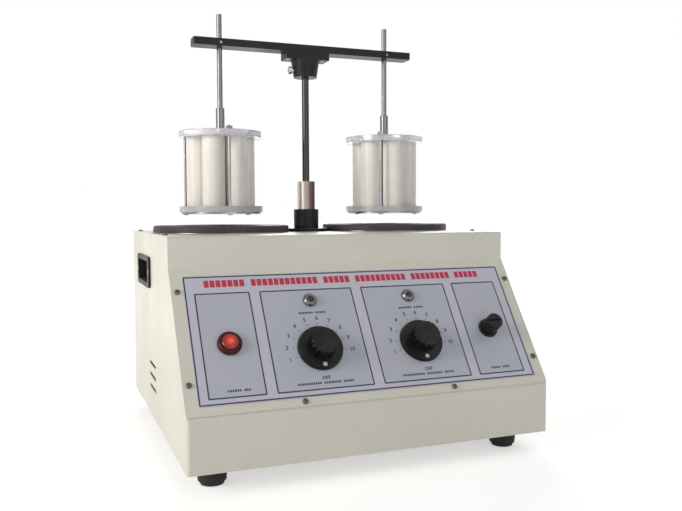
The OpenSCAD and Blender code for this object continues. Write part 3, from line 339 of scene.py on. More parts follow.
# edges rubbed bare in broken patches
wear = {"width": 0.0006, "samples": 4, "chips": 420.0, "detail": 4.0, "roughness": 0.7,
        "from": 0.45, "to": 0.62, "flat": 0.985, "sharp": 0.80}
edgeWear, groupIn, groupOut = newGroup(
    "edgeWear", [vectorIn, ("Width", "NodeSocketFloat", wear["width"]), ("Amount", "NodeSocketFloat", 0.5)],
    ["Mask"])
rounded = node(edgeWear, "ShaderNodeBevel", samples=wear["samples"])
edgeWear.links.new(groupIn.outputs["Width"], rounded.inputs["Radius"])
agree = vectors(
    edgeWear, "DOT_PRODUCT", rounded.outputs["Normal"],
    node(edgeWear, "ShaderNodeNewGeometry").outputs["Normal"], "Value")
edge = spread(edgeWear, agree, wear["flat"], wear["sharp"])
chips = noise(edgeWear, groupIn.outputs["Vector"], wear["chips"], wear["detail"], wear["roughness"])
chips = spread(edgeWear, chips, wear["from"], wear["to"])
edgeWear.links.new(
    sums(edgeWear, "MULTIPLY", sums(edgeWear, "MULTIPLY", edge, chips), groupIn.outputs["Amount"], True),
    groupOut.inputs["Mask"])

# 1 inside a box in the X and Y of the vector it is given
boxMask, groupIn, groupOut = newGroup(
    "boxMask", [vectorIn, ("Centre", "NodeSocketVector", None), ("Half", "NodeSocketVector", None)],
    ["Mask"])
away = vectors(boxMask, "SUBTRACT", groupIn.outputs["Vector"], groupIn.outputs["Centre"])
room = node(boxMask, "ShaderNodeSeparateXYZ")
away = vectors(boxMask, "ABSOLUTE", away, None)
boxMask.links.new(vectors(boxMask, "SUBTRACT", groupIn.outputs["Half"], away), room.inputs[0])
boxMask.links.new(
    sums(boxMask, "GREATER_THAN", sums(boxMask, "MINIMUM", room.outputs["X"], room.outputs["Y"]), 0.0),
    groupOut.inputs["Mask"])
print("shader groups built")


# finishes: a Principled shader whose colour, roughness and bump are built up in layers

def newFinish(name, colour, roughness, **sockets):
    material = bpy.data.materials.new(name)
    material.use_nodes = True
    tree = material.node_tree
    shader = tree.nodes["Principled BSDF"]
    shader.inputs["Base Color"].default_value = colour
    shader.inputs["Roughness"].default_value = roughness
    for label, value in sockets.items():
        shader.inputs[label.replace("_", " ")].default_value = value
    return {"material": material, "tree": tree, "shader": shader, "base": colour, "colour": None,
            "bump": None, "vector": node(tree, "ShaderNodeTexCoord").outputs["Object"]}


def centred(finish, location, rotation=(0, 0, 0)):
    # Object coordinates measured from a point and turned
    mapping = node(finish["tree"], "ShaderNodeMapping", vector_type="TEXTURE")
    mapping.inputs["Location"].default_value = location
    mapping.inputs["Rotation"].default_value = rotation
    finish["tree"].links.new(finish["vector"], mapping.inputs["Vector"])
    return mapping.outputs["Vector"]


def effect(finish, group, vector=None, **values):
    made = finish["tree"].nodes.new("ShaderNodeGroup")
    made.node_tree = group
    finish["tree"].links.new(vector or finish["vector"], made.inputs["Vector"])
    for label, value in values.items():
        made.inputs[label.replace("_", " ")].default_value = value
    return made.outputs


def tint(finish, mask, colour, strength=1.0):
    # inputs 0, 6 and 7 of a colour mix are its share and its two colours, and output 2 is its colour
    tree = finish["tree"]
    mix = node(tree, "ShaderNodeMix", data_type="RGBA")
    tree.links.new(sums(tree, "MULTIPLY", mask, strength, True), mix.inputs[0])
    if finish["colour"]:
        tree.links.new(finish["colour"], mix.inputs[6])
    else:
        mix.inputs[6].default_value = finish["base"]
    mix.inputs[7].default_value = colour
    finish["colour"] = mix.outputs[2]
    tree.links.new(finish["colour"], finish["shader"].inputs["Base Color"])


def vary(finish, mask, low, high):
    made = spread(finish["tree"], mask, 0.0, 1.0, low, high)
    finish["tree"].links.new(made, finish["shader"].inputs["Roughness"])


def raised(finish, height, distance):
    tree = finish["tree"]
    bump = node(tree, "ShaderNodeBump", Distance=distance, Strength=1.0)
    tree.links.new(height, bump.inputs["Height"])
    if finish["bump"]:
        tree.links.new(finish["bump"], bump.inputs["Normal"])
    finish["bump"] = bump.outputs["Normal"]
    tree.links.new(finish["bump"], finish["shader"].inputs["Normal"])


# the heights of grain and grooves are in mm, and shares run from 0 to 1
paint = {"mottleShade": 0.86, "mottled": 0.35, "dust": (176, 170, 158), "dusted": 0.7,
         "smoother": 0.06, "rougher": 0.08}
metal = {"cloudShade": 0.62, "cloudFrom": 0.42, "cloudTo": 0.7, "smoother": 0.08, "rougher": 0.14,
         "groove": 0.015}


def paintFinish(name, colour, roughness, grains, peel, dusty, worn=0.0, wornColour=None, **sockets):
    # sprayed, stove-enamelled or moulded surfaces
    made = newFinish(name, srgb(*colour), roughness, **sockets)
    grain = effect(made, skinGrain, Grains_per_metre=grains)
    darker = tuple(c * paint["mottleShade"] for c in made["base"][:3]) + (1.0,)
    tint(made, grain["Mottle"], darker, paint["mottled"])
    tint(made, effect(made, dustFall, Amount=dusty)["Mask"], srgb(*paint["dust"]), paint["dusted"])
    if worn:
        tint(made, effect(made, edgeWear, Amount=worn)["Mask"], srgb(*wornColour))
    vary(made, grain["Mottle"], roughness - paint["smoother"], roughness + paint["rougher"])
    raised(made, grain["Height"], peel * mm)
    return made


def metalFinish(name, colour, roughness, lines, tarnish=0.25):
    # drawn, ground or plated metal
    made = newFinish(name, srgb(*colour), roughness, Metallic=1.0)
    streak = effect(made, brushLines, Lines_per_metre=lines)
    darker = tuple(c * metal["cloudShade"] for c in made["base"][:3]) + (1.0,)
    tint(made, spread(made["tree"], streak["Cloud"], metal["cloudFrom"], metal["cloudTo"]), darker, tarnish)
    vary(made, streak["Streak"], roughness - metal["smoother"], roughness + metal["rougher"])
    raised(made, streak["Streak"], metal["groove"] * mm)
    return made


bareSteel = (178, 176, 172)
paints = {
    "cream_paint": {
        "name": "creamCoat", "colour": (226, 222, 210), "roughness": 0.42, "grains": 850, "peel": 0.04,
        "dusty": 0.18},
    "black_moulding": {
        "name": "blackMoulding", "colour": (28, 28, 28), "roughness": 0.5, "grains": 1600, "peel": 0.04,
        "dusty": 0.25, "worn": 0.12, "wornColour": (84, 84, 84), "Specular_IOR_Level": 0.22},
    "black_gloss": {
        "name": "blackGloss", "colour": (15, 16, 18), "roughness": 0.34, "grains": 500, "peel": 0.01,
        "dusty": 0.18, "worn": 0.1, "wornColour": (72, 72, 76), "Specular_IOR_Level": 0.22},
    "black_enamel": {
        "name": "blackEnamel", "colour": (20, 19, 22), "roughness": 0.4, "grains": 700, "peel": 0.03,
        "dusty": 0.2, "worn": 0.3, "wornColour": bareSteel, "Specular_IOR_Level": 0.22},
    "foot_rubber": {
        "name": "footRubber", "colour": (27, 27, 28), "roughness": 0.78, "grains": 1900, "peel": 0.05,
        "dusty": 0.4, "worn": 0.2, "wornColour": (70, 69, 67)},
    "regulator_moulding": {
        "name": "regulatorMoulding", "colour": (42, 36, 32), "roughness": 0.5, "grains": 1300,
        "peel": 0.03, "dusty": 0.2},
    "block_ceramic": {
        "name": "blockCeramic", "colour": (231, 226, 213), "roughness": 0.62, "grains": 2200,
        "peel": 0.03, "dusty": 0.2},
    "maroon_moulding": {
        "name": "maroonMoulding", "colour": (66, 12, 18), "roughness": 0.24, "grains": 400, "peel": 0.01,
        "dusty": 0.06, "Specular_IOR_Level": 0.2},
    "cast_alloy": {
        "name": "castAlloy", "colour": (112, 116, 120), "roughness": 0.48, "grains": 1100, "peel": 0.12,
        "dusty": 0.3, "worn": 0.5, "wornColour": bareSteel},
}
inks = {
    "slate": {"name": "slateInk", "colour": (50, 55, 74), "roughness": 0.46, "dusty": 0.08},
    "red": {"name": "redInk", "colour": (196, 48, 78), "roughness": 0.46, "dusty": 0.08},
    "white": {"name": "whiteFill", "colour": (196, 194, 188), "roughness": 0.5, "dusty": 0.15},
}
metals = {
    "bright_steel": {"name": "brightSteel", "colour": (136, 136, 139), "roughness": 0.19, "lines": 3000},
    "plain_steel": {"name": "plainSteel", "colour": (166, 156, 150), "roughness": 0.33, "lines": 1800},
    "zinc_steel": {
        "name": "zincSteel", "colour": (172, 174, 174), "roughness": 0.4, "lines": 900, "tarnish": 0.45},
    "bearing_brass": {"name": "bearingBrass", "colour": (196, 158, 92), "roughness": 0.3, "lines": 2200},
}
finishes = {slot: paintFinish(**values) for slot, values in paints.items()}
finishes.update({slot: metalFinish(**values) for slot, values in metals.items()})
inkFinishes = {ink: paintFinish(grains=900, peel=0.01, **values) for ink, values in inks.items()}
slideSteel = metalFinish("slideSteel", (64, 60, 57), roughness=0.22, lines=2600)
rodSteel = metalFinish("rodSteel", (110, 110, 111), roughness=0.2, lines=3000)
brownedSteel = metalFinish("brownedSteel", (104, 98, 94), roughness=0.42, lines=900, tarnish=0.5)
bushSteel = metalFinish("bushSteel", (206, 199, 192), roughness=0.3, lines=1500, tarnish=0.2)

# the guide bush is tinted dark brown on its right side: painted shade, standing in for the dark reflection
# that side shows
bushPaintedShade = {"turn": -21, "from": -5, "to": 4, "colour": (78, 58, 54), "most": 0.92}
bushAxes = node(bushSteel["tree"], "ShaderNodeSeparateXYZ")
bushVector = centred(bushSteel, middle("guide_bush"), (0, 0, math.radians(bushPaintedShade["turn"])))
bushSteel["tree"].links.new(bushVector, bushAxes.inputs[0])
# painted shade: the mask rises across the bush from its left to its right side
paintedShadeMask = spread(bushSteel["tree"], bushAxes.outputs["X"], bushPaintedShade["from"] * mm, bushPaintedShade["to"] * mm)
tint(bushSteel, paintedShadeMask, srgb(*bushPaintedShade["colour"]), bushPaintedShade["most"])

# printed sheet: grey-blue fields inside paler borders, with a fine grain under the print
fields = {"top": 28.5, "low": 130, "spans": [(20, 71), (80, 171.5), (181, 272), (281, 331)]}
sheet = {"border": (196, 196, 210), "field": (180, 184, 196), "roughness": 0.4, "metallic": 0.15,
         "grains": 600, "peel": 0.01, "mottle": (196, 188, 200), "mottled": 0.22,
         "dust": (190, 186, 178), "dusty": 0.25, "dusted": 0.6, "smooth": 0.34, "rough": 0.46}
panelPrint = newFinish("panelPrint", srgb(*sheet["border"]), sheet["roughness"], Metallic=sheet["metallic"])
panelVector = centred(panelPrint, slopeTop, panelTurn)
for left, right in fields["spans"]:
    top, low = fields["top"], fields["low"]
    mask = effect(panelPrint, boxMask, panelVector,
                  Centre=((left + right) / 2 * mm, -(top + low) / 2 * mm, 0),
                  Half=((right - left) / 2 * mm, (low - top) / 2 * mm, 1))
    tint(panelPrint, mask["Mask"], srgb(*sheet["field"]))
panelGrain = effect(panelPrint, skinGrain, Grains_per_metre=sheet["grains"])
tint(panelPrint, panelGrain["Mottle"], srgb(*sheet["mottle"]), sheet["mottled"])
panelDust = effect(panelPrint, dustFall, Amount=sheet["dusty"])
tint(panelPrint, panelDust["Mask"], srgb(*sheet["dust"]), sheet["dusted"])
vary(panelPrint, panelGrain["Mottle"], sheet["smooth"], sheet["rough"])
raised(panelPrint, panelGrain["Height"], sheet["peel"] * mm)
finishes["panel_print"] = panelPrint

# cast hot plate: matt black coat over turning marks, paler in the middle and browned at the rim
iron = {"colour": (38, 36, 37), "roughness": 0.55, "rings": 520, "groove": 0.06,
        "grains": 1500, "peel": 0.06, "rim": (66, 55, 50), "rimFrom": 45, "rimTo": 73, "browned": 0.35,
        "heart": (58, 56, 58), "heartEnd": 30, "paler": 0.5, "bare": (120, 112, 106), "worn": 0.35,
        "dust": (150, 144, 136), "dusty": 0.3, "dusted": 0.45, "smooth": 0.46, "rough": 0.62}


def plateFinish(name, centre):
    made = newFinish(name, srgb(*iron["colour"]), iron["roughness"])
    rings = effect(made, latheRings, centred(made, centre), Rings_per_metre=iron["rings"])
    grain = effect(made, skinGrain, Grains_per_metre=iron["grains"])
    rim = spread(made["tree"], rings["Radius"], iron["rimFrom"] * mm, iron["rimTo"] * mm)
    heart = spread(made["tree"], rings["Radius"], iron["heartEnd"] * mm, 0.0)
    browned = sums(made["tree"], "MULTIPLY", rim, grain["Mottle"])
    tint(made, browned, srgb(*iron["rim"]), iron["browned"])
    tint(made, heart, srgb(*iron["heart"]), iron["paler"])
    tint(made, effect(made, edgeWear, Amount=iron["worn"])["Mask"], srgb(*iron["bare"]))
    tint(made, effect(made, dustFall, Amount=iron["dusty"])["Mask"], srgb(*iron["dust"]), iron["dusted"])
    vary(made, rings["Groove"], iron["smooth"], iron["rough"])
    raised(made, rings["Groove"], iron["groove"] * mm)
    raised(made, grain["Height"], iron["peel"] * mm)
    return made


# lens of the power button: lit from behind, and the light fades from its middle to its edge
glow = {"colour": (120, 16, 14), "roughness": 0.14, "strength": 0.9, "coat": 0.25, "specular": 0.3,
        "middle": (244, 100, 62), "between": [(0.5, (160, 30, 20)), (0.8, (84, 10, 12))],
        "edge": (30, 3, 5), "radius": 7.8, "rings": 900, "groove": 0.03}


def glowFinish(name, centre, turn):
    made = newFinish(name, srgb(*glow["colour"]), glow["roughness"], Coat_Weight=glow["coat"],
                     Specular_IOR_Level=glow["specular"], Emission_Strength=glow["strength"])
    tree = made["tree"]
    rings = effect(made, latheRings, centred(made, centre, turn), Rings_per_metre=glow["rings"])
    ramp = node(tree, "ShaderNodeValToRGB")
    ramp.color_ramp.elements[0].color = srgb(*glow["middle"])
    ramp.color_ramp.elements[1].color = srgb(*glow["edge"])
    for place, colour in glow["between"]:
        ramp.color_ramp.elements.new(place).color = srgb(*colour)
    tree.links.new(spread(tree, rings["Radius"], 0.0, glow["radius"] * mm), ramp.inputs[0])
    tree.links.new(ramp.outputs[0], made["shader"].inputs["Emission Color"])
    raised(made, rings["Groove"], glow["groove"] * mm)
    return made


# clear plastics: colour and clearness change a little over the surface
clear = {"IOR": 1.49, "edged": 0.5, "smoother": 0.8, "rougher": 1.25, "wave": 0.04}


def clearFinish(name, colour, edgeColour, roughness, transmission, waves, **sockets):
    made = newFinish(
        name, srgb(*colour), roughness, Transmission_Weight=transmission, IOR=clear["IOR"], **sockets)
    grain = effect(made, skinGrain, Grains_per_metre=waves)
    tint(made, grain["Mottle"], srgb(*edgeColour), clear["edged"])
    vary(made, grain["Mottle"], roughness * clear["smoother"], roughness * clear["rougher"])
    raised(made, grain["Height"], clear["wave"] * mm)
    return made


# milky tube: soft streaks along it, and a little light coming through
milk = {"colour": (252, 247, 238), "roughness": 0.42, "through": 0.3, "depth": 3,
        "reach": (1.0, 0.95, 0.9), "lines": 420,
        "streak": (238, 229, 218), "streakFrom": 0.42, "streakTo": 0.66, "streaked": 0.75,
        "cloud": (232, 228, 226), "cloudFrom": 0.45, "cloudTo": 0.7, "clouded": 0.4,
        "smoother": 0.06, "rougher": 0.1, "groove": 0.03}


def milkyFinish(name):
    made = newFinish(name, srgb(*milk["colour"]), milk["roughness"], Subsurface_Weight=milk["through"],
                     Subsurface_Scale=milk["depth"] * mm, Subsurface_Radius=milk["reach"])
    streak = effect(made, brushLines, Lines_per_metre=milk["lines"])
    streaks = spread(made["tree"], streak["Streak"], milk["streakFrom"], milk["streakTo"])
    clouds = spread(made["tree"], streak["Cloud"], milk["cloudFrom"], milk["cloudTo"])
    tint(made, streaks, srgb(*milk["streak"]), milk["streaked"])
    tint(made, clouds, srgb(*milk["cloud"]), milk["clouded"])
    vary(made, streak["Cloud"], milk["roughness"] - milk["smoother"], milk["roughness"] + milk["rougher"])
    raised(made, streak["Streak"], milk["groove"] * mm)
    return made


button = {"u": 45, "v": 80}
finishes["red_lens"] = glowFinish("buttonGlow", onPanel(button["u"], button["v"]), panelTurn)
finishes["clear_lens"] = clearFinish(
    "lampLens", (40, 44, 48), (26, 28, 30), roughness=0.08, transmission=0.1, waves=300,
    Specular_IOR_Level=0.3)
finishes["plate_acrylic"] = clearFinish(
    "plateAcrylic", (242, 241, 246), (226, 222, 236), roughness=0.2, transmission=0.55, waves=260)
finishes["tube_white"] = milkyFinish("tubeMilky")
finishes["plate_iron"] = plateFinish("plateIronLeft", middle("hot_plate_left"))
ironRight = plateFinish("plateIronRight", middle("hot_plate_right"))

# each CAD node gets the finish of its slot, and a few get one of their own
slotOf = {part["node"]: part["material_slot"] for part in frame["record"]["subparts"]}
bodyOf = {name: body for body, names in frame["record"]["behaviour"]["bodies"].items() for name in names}
for name, slot in slotOf.items():
    frame["nodes"][name].data.materials.clear()
    frame["nodes"][name].data.materials.append(finishes[slot]["material"])
ownFinish = {"hot_plate_right": ironRight, "lift_rod": slideSteel, "heater_lamps": rodSteel,
             "cover_screws": brownedSteel, "guide_bush": bushSteel}
for side in ("left", "right"):
    ownFinish.update({"basket_rod_" + side: rodSteel, "basket_hub_" + side: rodSteel})
for name, finish in ownFinish.items():
    frame["nodes"][name].data.materials[0] = finish["material"]
print("finishes built")


# pieces whose edges get the small radius of the real ones, in mm
edges = {
    "cabinet_body": 0.3, "top_cover": 0.3, "panel_overlay": 0.08,
    "handle_left": 0.7, "handle_right": 0.7, "mains_inlet": 0.5, "rubber_feet": 0.8,
    "hot_plate_left": 0.5, "hot_plate_right": 0.5, "plate_rings": 0.25,
    "control_knob_left": 0.3, "control_knob_right": 0.3, "power_bezel": 0.35, "heater_lamps": 0.4,
    "fuse_holder": 0.5, "fuse_cap": 0.35, "guide_bush": 0.5, "column_base": 0.6, "lift_rod": 0.3,
    "arm_clamp": 0.7, "arm_bar": 0.7, "case_screws": 0.15, "cover_screws": 0.15, "arm_screws": 0.15,
    "yoke": 0.6, "crank_disc": 0.5, "gearbox": 1.0, "motor": 0.8, "drive_bracket": 0.4,
}
for side in ("left", "right"):
    edges.update({
        "basket_rod_" + side: 0.4, "basket_hub_" + side: 0.5, "upper_plate_" + side: 0.45,
        "lower_plate_" + side: 0.45, "mesh_retainer_" + side: 0.2, "tie_bolts_" + side: 0.15,
    })
for name, width in edges.items():
    softened(name, bodyOf[name], frame["nodes"][name].data.materials[0], width)
print("softened pieces:", len(edges))


# tubes of the baskets: open at both ends, with polished rims
tube = {"outer": 12.0, "inner": 10.75, "length": 77.5, "rim": 0.5, "lip": 0.15, "sides": 48,
        "circle": 25.3, "each": 6, "front": -90, "turn": {"left": 0.0, "right": -30.0}}
outer, inner, rim, lip, long = (tube[key] for key in ("outer", "inner", "rim", "lip", "length"))
oneTube = turned("oneTube", [
    (inner, rim), (inner + lip, lip), (inner + rim, 0),
    (outer - rim, 0), (outer - lip, lip), (outer, rim),
    (outer, long / 3), (outer, long * 2 / 3),
    (outer, long - rim), (outer - lip, long - lip), (outer - rim, long),
    (inner + rim, long), (inner + lip, long - lip), (inner, long - rim),
    (inner, long / 2), (inner, rim)], tube["sides"])
for side in ("left", "right"):
    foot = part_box("tubes_" + side)[0].z
    rod = middle("basket_rod_" + side)
    standing = []
    for k in range(tube["each"]):
        angle = math.radians(tube["turn"][side] + (k + 0.5) * 360 / tube["each"] + tube["front"])
        reach = tube["circle"] * mm
        where = (rod.x + reach * math.cos(angle), rod.y + reach * math.sin(angle), foot)
        standing.append(placed(twin(oneTube, f"tube_{side}_{k + 1}"), where))
    tubes = smoothed(joined("tubes_" + side + "_dressed", standing))
    dressed(tubes, "basket_" + side, finishes["tube_white"]["material"])
    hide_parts("tubes_" + side)
bpy.data.objects.remove(oneTube)
print("tubes made")


# woven wire cloth under each basket: one wire bends down and up again over two pitches, is repeated
# along its length and across, and the same set turned by 90 degrees crosses it
cloth = {"pitch": 2.9, "wire": 0.19, "swing": 0.17, "radius": 37.6, "sides": 6, "lay": 45, "smooth": 80}
across = math.ceil(cloth["radius"] / cloth["pitch"]) * 2 + 2
nothingSelected()
bpy.ops.mesh.primitive_circle_add(
    vertices=cloth["sides"], radius=cloth["wire"] * mm, rotation=(0, math.pi / 2, 0),
    location=(0, 0, cloth["swing"] * mm))
wave = newest("wireWave")
bpy.ops.object.mode_set(mode="EDIT")
bpy.ops.mesh.select_all(action="SELECT")
for rise in (-1, -1, 1, 1):
    bpy.ops.mesh.extrude_region_move(
        TRANSFORM_OT_translate={"value": (cloth["pitch"] / 2 * mm, 0, rise * cloth["swing"] * mm)})
bpy.ops.object.mode_set(mode="OBJECT")
placed(wave)
pitch = cloth["pitch"] * mm
addModifier(wave, "ARRAY", count=across // 2, use_relative_offset=False, use_constant_offset=True,
            constant_offset_displace=(2 * pitch, 0, 0), use_merge_vertices=True,
            merge_threshold=weld["array"])
placed(wave, (-across / 2 * pitch, 0, 0))
rows = []
for phase in (0, 1):
    rowSet = twin(wave, f"wireRows{phase}")
    addModifier(rowSet, "ARRAY", count=across // 2, use_relative_offset=False, use_constant_offset=True,
                constant_offset_displace=(0, 2 * pitch, 0))
    rows.append(placed(rowSet, (phase * pitch, (phase - across / 2) * pitch, 0)))
warp = joined("wireWarp", rows)
weft = placed(twin(warp, "wireWeft"), (0, 0, 0), (0, 0, math.pi / 2))
weave = joined("wireWeave", [warp, weft])
for vertex in weave.data.vertices:
    vertex.select = vertex.co.xy.length > cloth["radius"] * mm
bpy.ops.object.mode_set(mode="EDIT")
bpy.ops.mesh.delete(type="VERT")
closedUp(weave)
bpy.data.objects.remove(wave)
for side in ("left", "right"):
    turn = math.radians(tube["turn"][side] + cloth["lay"])
    net = placed(twin(weave, "wire_mesh_" + side + "_dressed"), middle("wire_mesh_" + side), (0, 0, turn))
    smoothed(net, cloth["smooth"])
    dressed(net, "basket_" + side, finishes["bright_steel"]["material"])
    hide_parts("wire_mesh_" + side)
bpy.data.objects.remove(weave)
print("wire cloth made")


# power button: a domed lens with a moulded shoulder
lens = {"radius": 7.5, "low": -3.0, "top": 7.2, "crown": 2.0, "step": 15, "footIn": 1.0, "footUp": 0.6,
        "sides": 56, "smooth": 50}
shoulder = lens["top"] - lens["crown"]
crown = [(lens["radius"] * math.cos(math.radians(a)), shoulder + lens["crown"] * math.sin(math.radians(a)))
         for a in range(lens["step"], 90, lens["step"])]
dome = turned("power_button_dressed", [
    (lens["radius"] - lens["footIn"], lens["low"]), (lens["radius"], lens["low"] + lens["footUp"]),
    (lens["radius"], shoulder), *crown, (pole, lens["top"])], lens["sides"])
smoothed(placed(dome, onPanel(button["u"], button["v"]), panelTurn), lens["smooth"])
dressed(dome, "power_button", finishes["red_lens"]["material"])
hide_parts("power_button")
print("power button made")


# print on the panel: frames, blocks and dial numbers stand a hair above the sheet, in mm
ink = {"thick": 0.05, "bold": 0.12, "frame": 1.3, "corner": 1.2, "curve": 3, "outer": (11.8, 11, 340.2, 135)}


def inkPlane(name, wide, high, corner, segments):
    # a flat rectangle with rounded corners, left in edit mode
    nothingSelected()
    bpy.ops.mesh.primitive_plane_add(size=1)
    plane = newest(name)
    plane.scale = (wide * mm, high * mm, 1)
    placed(plane)
    editing(plane)
    bpy.ops.mesh.bevel(offset=corner * mm, segments=segments, affect="VERTICES")
    bpy.ops.mesh.select_all(action="SELECT")
    return plane


def drawnUp():
    # the faces get the thickness of the ink, and edit mode ends
    bpy.ops.mesh.select_all(action="SELECT")
    bpy.ops.mesh.extrude_region_move(TRANSFORM_OT_translate={"value": (0, 0, ink["thick"] * mm)})
    bpy.ops.mesh.select_all(action="SELECT")
    bpy.ops.mesh.normals_make_consistent(inside=False)
    bpy.ops.object.mode_set(mode="OBJECT")


def inkFrame(name, left, top, right, low):
    # a rectangle is inset, its middle is cut out and the rest is drawn up
    rectangle = inkPlane(name, right - left, low - top, ink["corner"], ink["curve"])
    bpy.ops.mesh.inset(thickness=ink["frame"] * mm)
    bpy.ops.mesh.delete(type="FACE")
    drawnUp()
    return placed(rectangle, onPanel((left + right) / 2, (top + low) / 2), panelTurn)


def inkWord(name, letters, size, u, v):
    # plain letters or a number, made a mesh before it is put in its place
    nothingSelected()
    bpy.ops.object.text_add(radius=size * mm)
    word = newest(name)
    word.data.body = letters
    word.data.align_x = "CENTER"
    word.data.align_y = "CENTER"
    word.data.extrude = ink["thick"] / 2 * mm
    word.data.offset = ink["bold"] * mm
    word.data.resolution_u = ink["curve"]
    pick(word)
    bpy.ops.object.convert(target="MESH")
    word = placed(newest(name))
    closedUp(word)
    return placed(word, onPanel(u, v, ink["thick"] / 2), panelTurn)


frames = [inkFrame("outerFrame", *ink["outer"])]
for k, (left, right) in enumerate(fields["spans"]):
    frames.append(inkFrame(f"fieldFrame{k}", left, fields["top"], right, fields["low"]))
dressed(joined("panel_frames", frames), "cabinet", inkFinishes["slate"]["material"])

# blank blocks as big as letters stand where a title and captions would be: each word is a number of
# blocks, and each caption has its middle u and its v
title = {"left": 30, "v": 19.0, "letter": (4.5, 7.2), "gap": 1.0, "words": [7, 12, 5, 10, 8, 5]}
captions = {"letter": (1.5, 2.1), "gap": 0.55, "at": [
    (47.5, 123.6, [6, 3]), (126, 123.6, [11, 8, 5]), (228, 123.6, [11, 8, 5]), (306, 123.6, [5, 4]),
    (127, 53.6, [7, 5]), (229, 53.6, [7, 5])]}
blockCorner = 0.28


def inkBlocks(name, left, v, letter, gap, words):
    # one block with small round corners, repeated along each word
    wide, high = letter
    pieces = []
    for k, letters in enumerate(words):
        block = inkPlane(f"{name}_{k}", wide, high, blockCorner, 1)
        drawnUp()
        addModifier(block, "ARRAY", count=letters, use_relative_offset=False, use_constant_offset=True,
                    constant_offset_displace=((wide + gap) * mm, 0, 0))
        pieces.append(placed(block, onPanel(left + wide / 2, v), panelTurn))
        left += (letters + 1) * (wide + gap)
    return pieces


blocks = inkBlocks("titleWord", title["left"], title["v"], title["letter"], title["gap"], title["words"])
dressed(joined("title_blocks", blocks), "cabinet", inkFinishes["red"]["material"])
blocks = []
for k, (middleU, v, words) in enumerate(captions["at"]):
    step = captions["letter"][0] + captions["gap"]
    start = middleU - (sum(words) + len(words) - 1) * step / 2
    blocks += inkBlocks(f"caption{k}", start, v, captions["letter"], captions["gap"], words)
dressed(joined("caption_blocks", blocks), "cabinet", inkFinishes["slate"]["material"])

# dial: numbers clockwise from the left of the OFF mark, each with a short tick; turns are in degrees
dial = {"v": 90.5, "radius": 31.0, "size": 5.6, "numbers": 10, "first": 73, "last": 275,
        "tickIn": 24.0, "tickOut": 26.5, "tickWide": 0.5, "tickEdge": 0.02,
        "offAt": 28.5, "offSize": 4.6, "knobs": {"left": 127, "right": 229}}
tickMiddle = (dial["tickIn"] + dial["tickOut"]) / 2
for side, u in dial["knobs"].items():
    marks = [inkWord(f"offMark_{side}", "OFF", dial["offSize"], u, dial["v"] + dial["offAt"])]
    for number in range(1, dial["numbers"] + 1):
        share = (number - 1) / (dial["numbers"] - 1)
        turn = math.radians(dial["first"] + share * (dial["last"] - dial["first"]))
        du, dv = -math.sin(turn), math.cos(turn)
        marks.append(inkWord(f"number_{side}_{number}", str(number), dial["size"],
                             u + du * dial["radius"], dial["v"] + dv * dial["radius"]))
        nothingSelected()
        bpy.ops.mesh.primitive_cube_add(
            size=1, location=(0, 0, ink["thick"] / 2 * mm),
            scale=(dial["tickWide"] * mm, (dial["tickOut"] - dial["tickIn"]) * mm, ink["thick"] * mm))
        tick = placed(newest(f"tick_{side}_{number}"))
        addModifier(tick, "BEVEL", width=dial["tickEdge"] * mm, segments=1)
        placed(tick, (0, 0, 0), (0, 0, math.pi - turn))
        middleOfTick = onPanel(u + du * tickMiddle, dial["v"] + dv * tickMiddle)
        marks.append(placed(tick, middleOfTick, panelTurn))
    dressed(joined(f"dial_print_{side}", marks), "cabinet", inkFinishes["slate"]["material"])
print("panel print made")

# pale paint in the dimple of each knob's skirt, spread a little over its edge
dot = {"at": 17.25, "sides": 24, "smooth": 60, "stations": [
    (1.42, 4.22), (1.42, 4.58), (2.1, 4.58), (2.016, 4.71), (1.47, 4.76), (pole, 4.78)]}
for side, u in dial["knobs"].items():
    spot = turned(f"knob_pointer_{side}", dot["stations"], dot["sides"])
    smoothed(placed(spot, onPanel(u, dial["v"] + dot["at"]), panelTurn), dot["smooth"])
    dressed(spot, "knob_" + side, inkFinishes["white"]["material"])
print("knob pointers made")


# floor, light and camera

def seenLevel(tree, low, high):
    # low is the light that falls on the object, and high is what the camera, gloss and glass see
    path = node(tree, "ShaderNodeLightPath")
    seen = sums(tree, "MAXIMUM", path.outputs["Is Camera Ray"], path.outputs["Is Glossy Ray"])
    seen = sums(tree, "MAXIMUM", seen, path.outputs["Is Transmission Ray"])
    return spread(tree, seen, 0.0, 1.0, low, high)


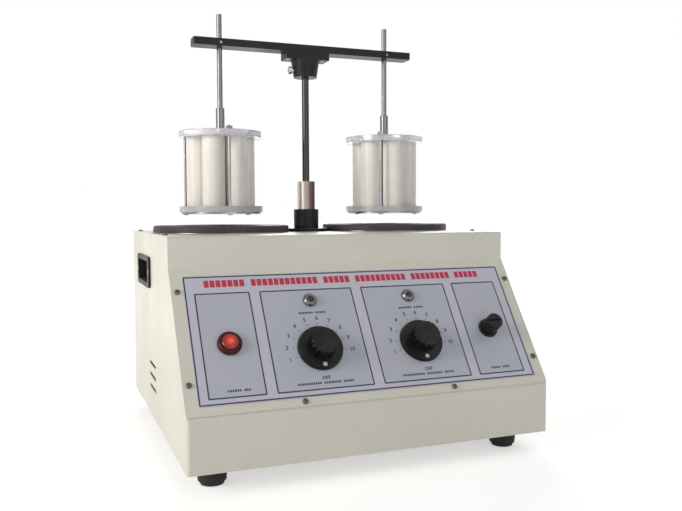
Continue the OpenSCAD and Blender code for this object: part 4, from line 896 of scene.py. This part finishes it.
# the paper fades into the white studio between near and far from the object, in metres
studio = {"floor": 40.0, "paper": 0.86, "roughness": 0.85, "near": 0.35, "far": 1.3, "liftNear": 0.5,
          "liftFar": 1.0, "sky": 0.3, "aim": (0, 0, 0.2)}
nothingSelected()
bpy.ops.mesh.primitive_plane_add(size=studio["floor"], location=(0, 0, 0))
floor = newest("floor")
floorPaper = newFinish(
    "floorPaper", (studio["paper"],) * 3 + (1,), studio["roughness"], Emission_Color=white)
tree = floorPaper["tree"]
away = vectors(tree, "LENGTH", floorPaper["vector"], None, "Value")
lift = spread(tree, away, studio["near"], studio["far"], studio["liftNear"], studio["liftFar"])
lift = sums(tree, "MULTIPLY", seenLevel(tree, 0.0, 1.0), lift)
tree.links.new(lift, floorPaper["shader"].inputs["Emission Strength"])
floor.data.materials.append(floorPaper["material"])

world = bpy.data.worlds.new("studio")
bpy.context.scene.world = world
world.use_nodes = True
sky = world.node_tree.nodes["Background"]
sky.inputs["Color"].default_value = white
world.node_tree.links.new(seenLevel(world.node_tree, studio["sky"], 1.0), sky.inputs["Strength"])

lamps = {
    "key": {"at": (-1.85, -0.55, 0.75), "size": 1.0, "power": 21.0, "colour": (1.0, 0.97, 0.905)},
    "fill": {"at": (0.4, -1.95, 0.4), "size": 1.4, "power": 6.0, "colour": (0.93, 0.96, 1.0)},
    "back": {"at": (0.7, 1.5, 1.0), "size": 1.2, "power": 14.0, "colour": (1.0, 1.0, 1.0)},
}
for name, values in lamps.items():
    nothingSelected()
    bpy.ops.object.light_add(type="AREA", location=values["at"])
    lamp = newest(name)
    lamp.data.shape = "DISK"
    lamp.data.size = values["size"]
    lamp.data.energy = values["power"]
    lamp.data.color = values["colour"]
    away = Vector(values["at"]) - Vector(studio["aim"])
    lamp.rotation_euler = away.to_track_quat("Z", "Y").to_euler()

# the camera that was solved from the photograph
view = {"at": (-0.2823, -0.79695, 0.2356), "yaw": -21.42, "pitch": -3.25, "roll": 0.25, "lens": 40.43,
        "sensor": 36, "nearest": 0.01}
nothingSelected()
bpy.ops.object.camera_add()
camera = newest("camera")
camera.data.lens = view["lens"]
camera.data.sensor_width = view["sensor"]
camera.data.clip_start = view["nearest"]
turn = Matrix.Rotation(math.radians(view["yaw"]), 3, "Z")
turn = turn @ Matrix.Rotation(math.radians(view["pitch"]), 3, "X")
turn = turn @ Matrix.Rotation(math.radians(view["roll"]), 3, "Y") @ Matrix.Rotation(math.pi / 2, 3, "X")
camera.matrix_world = Matrix.Translation(view["at"]) @ turn.to_4x4()
bpy.context.scene.camera = camera
bpy.context.scene.view_settings.view_transform = "Standard"
print("floor, lamps and camera set")
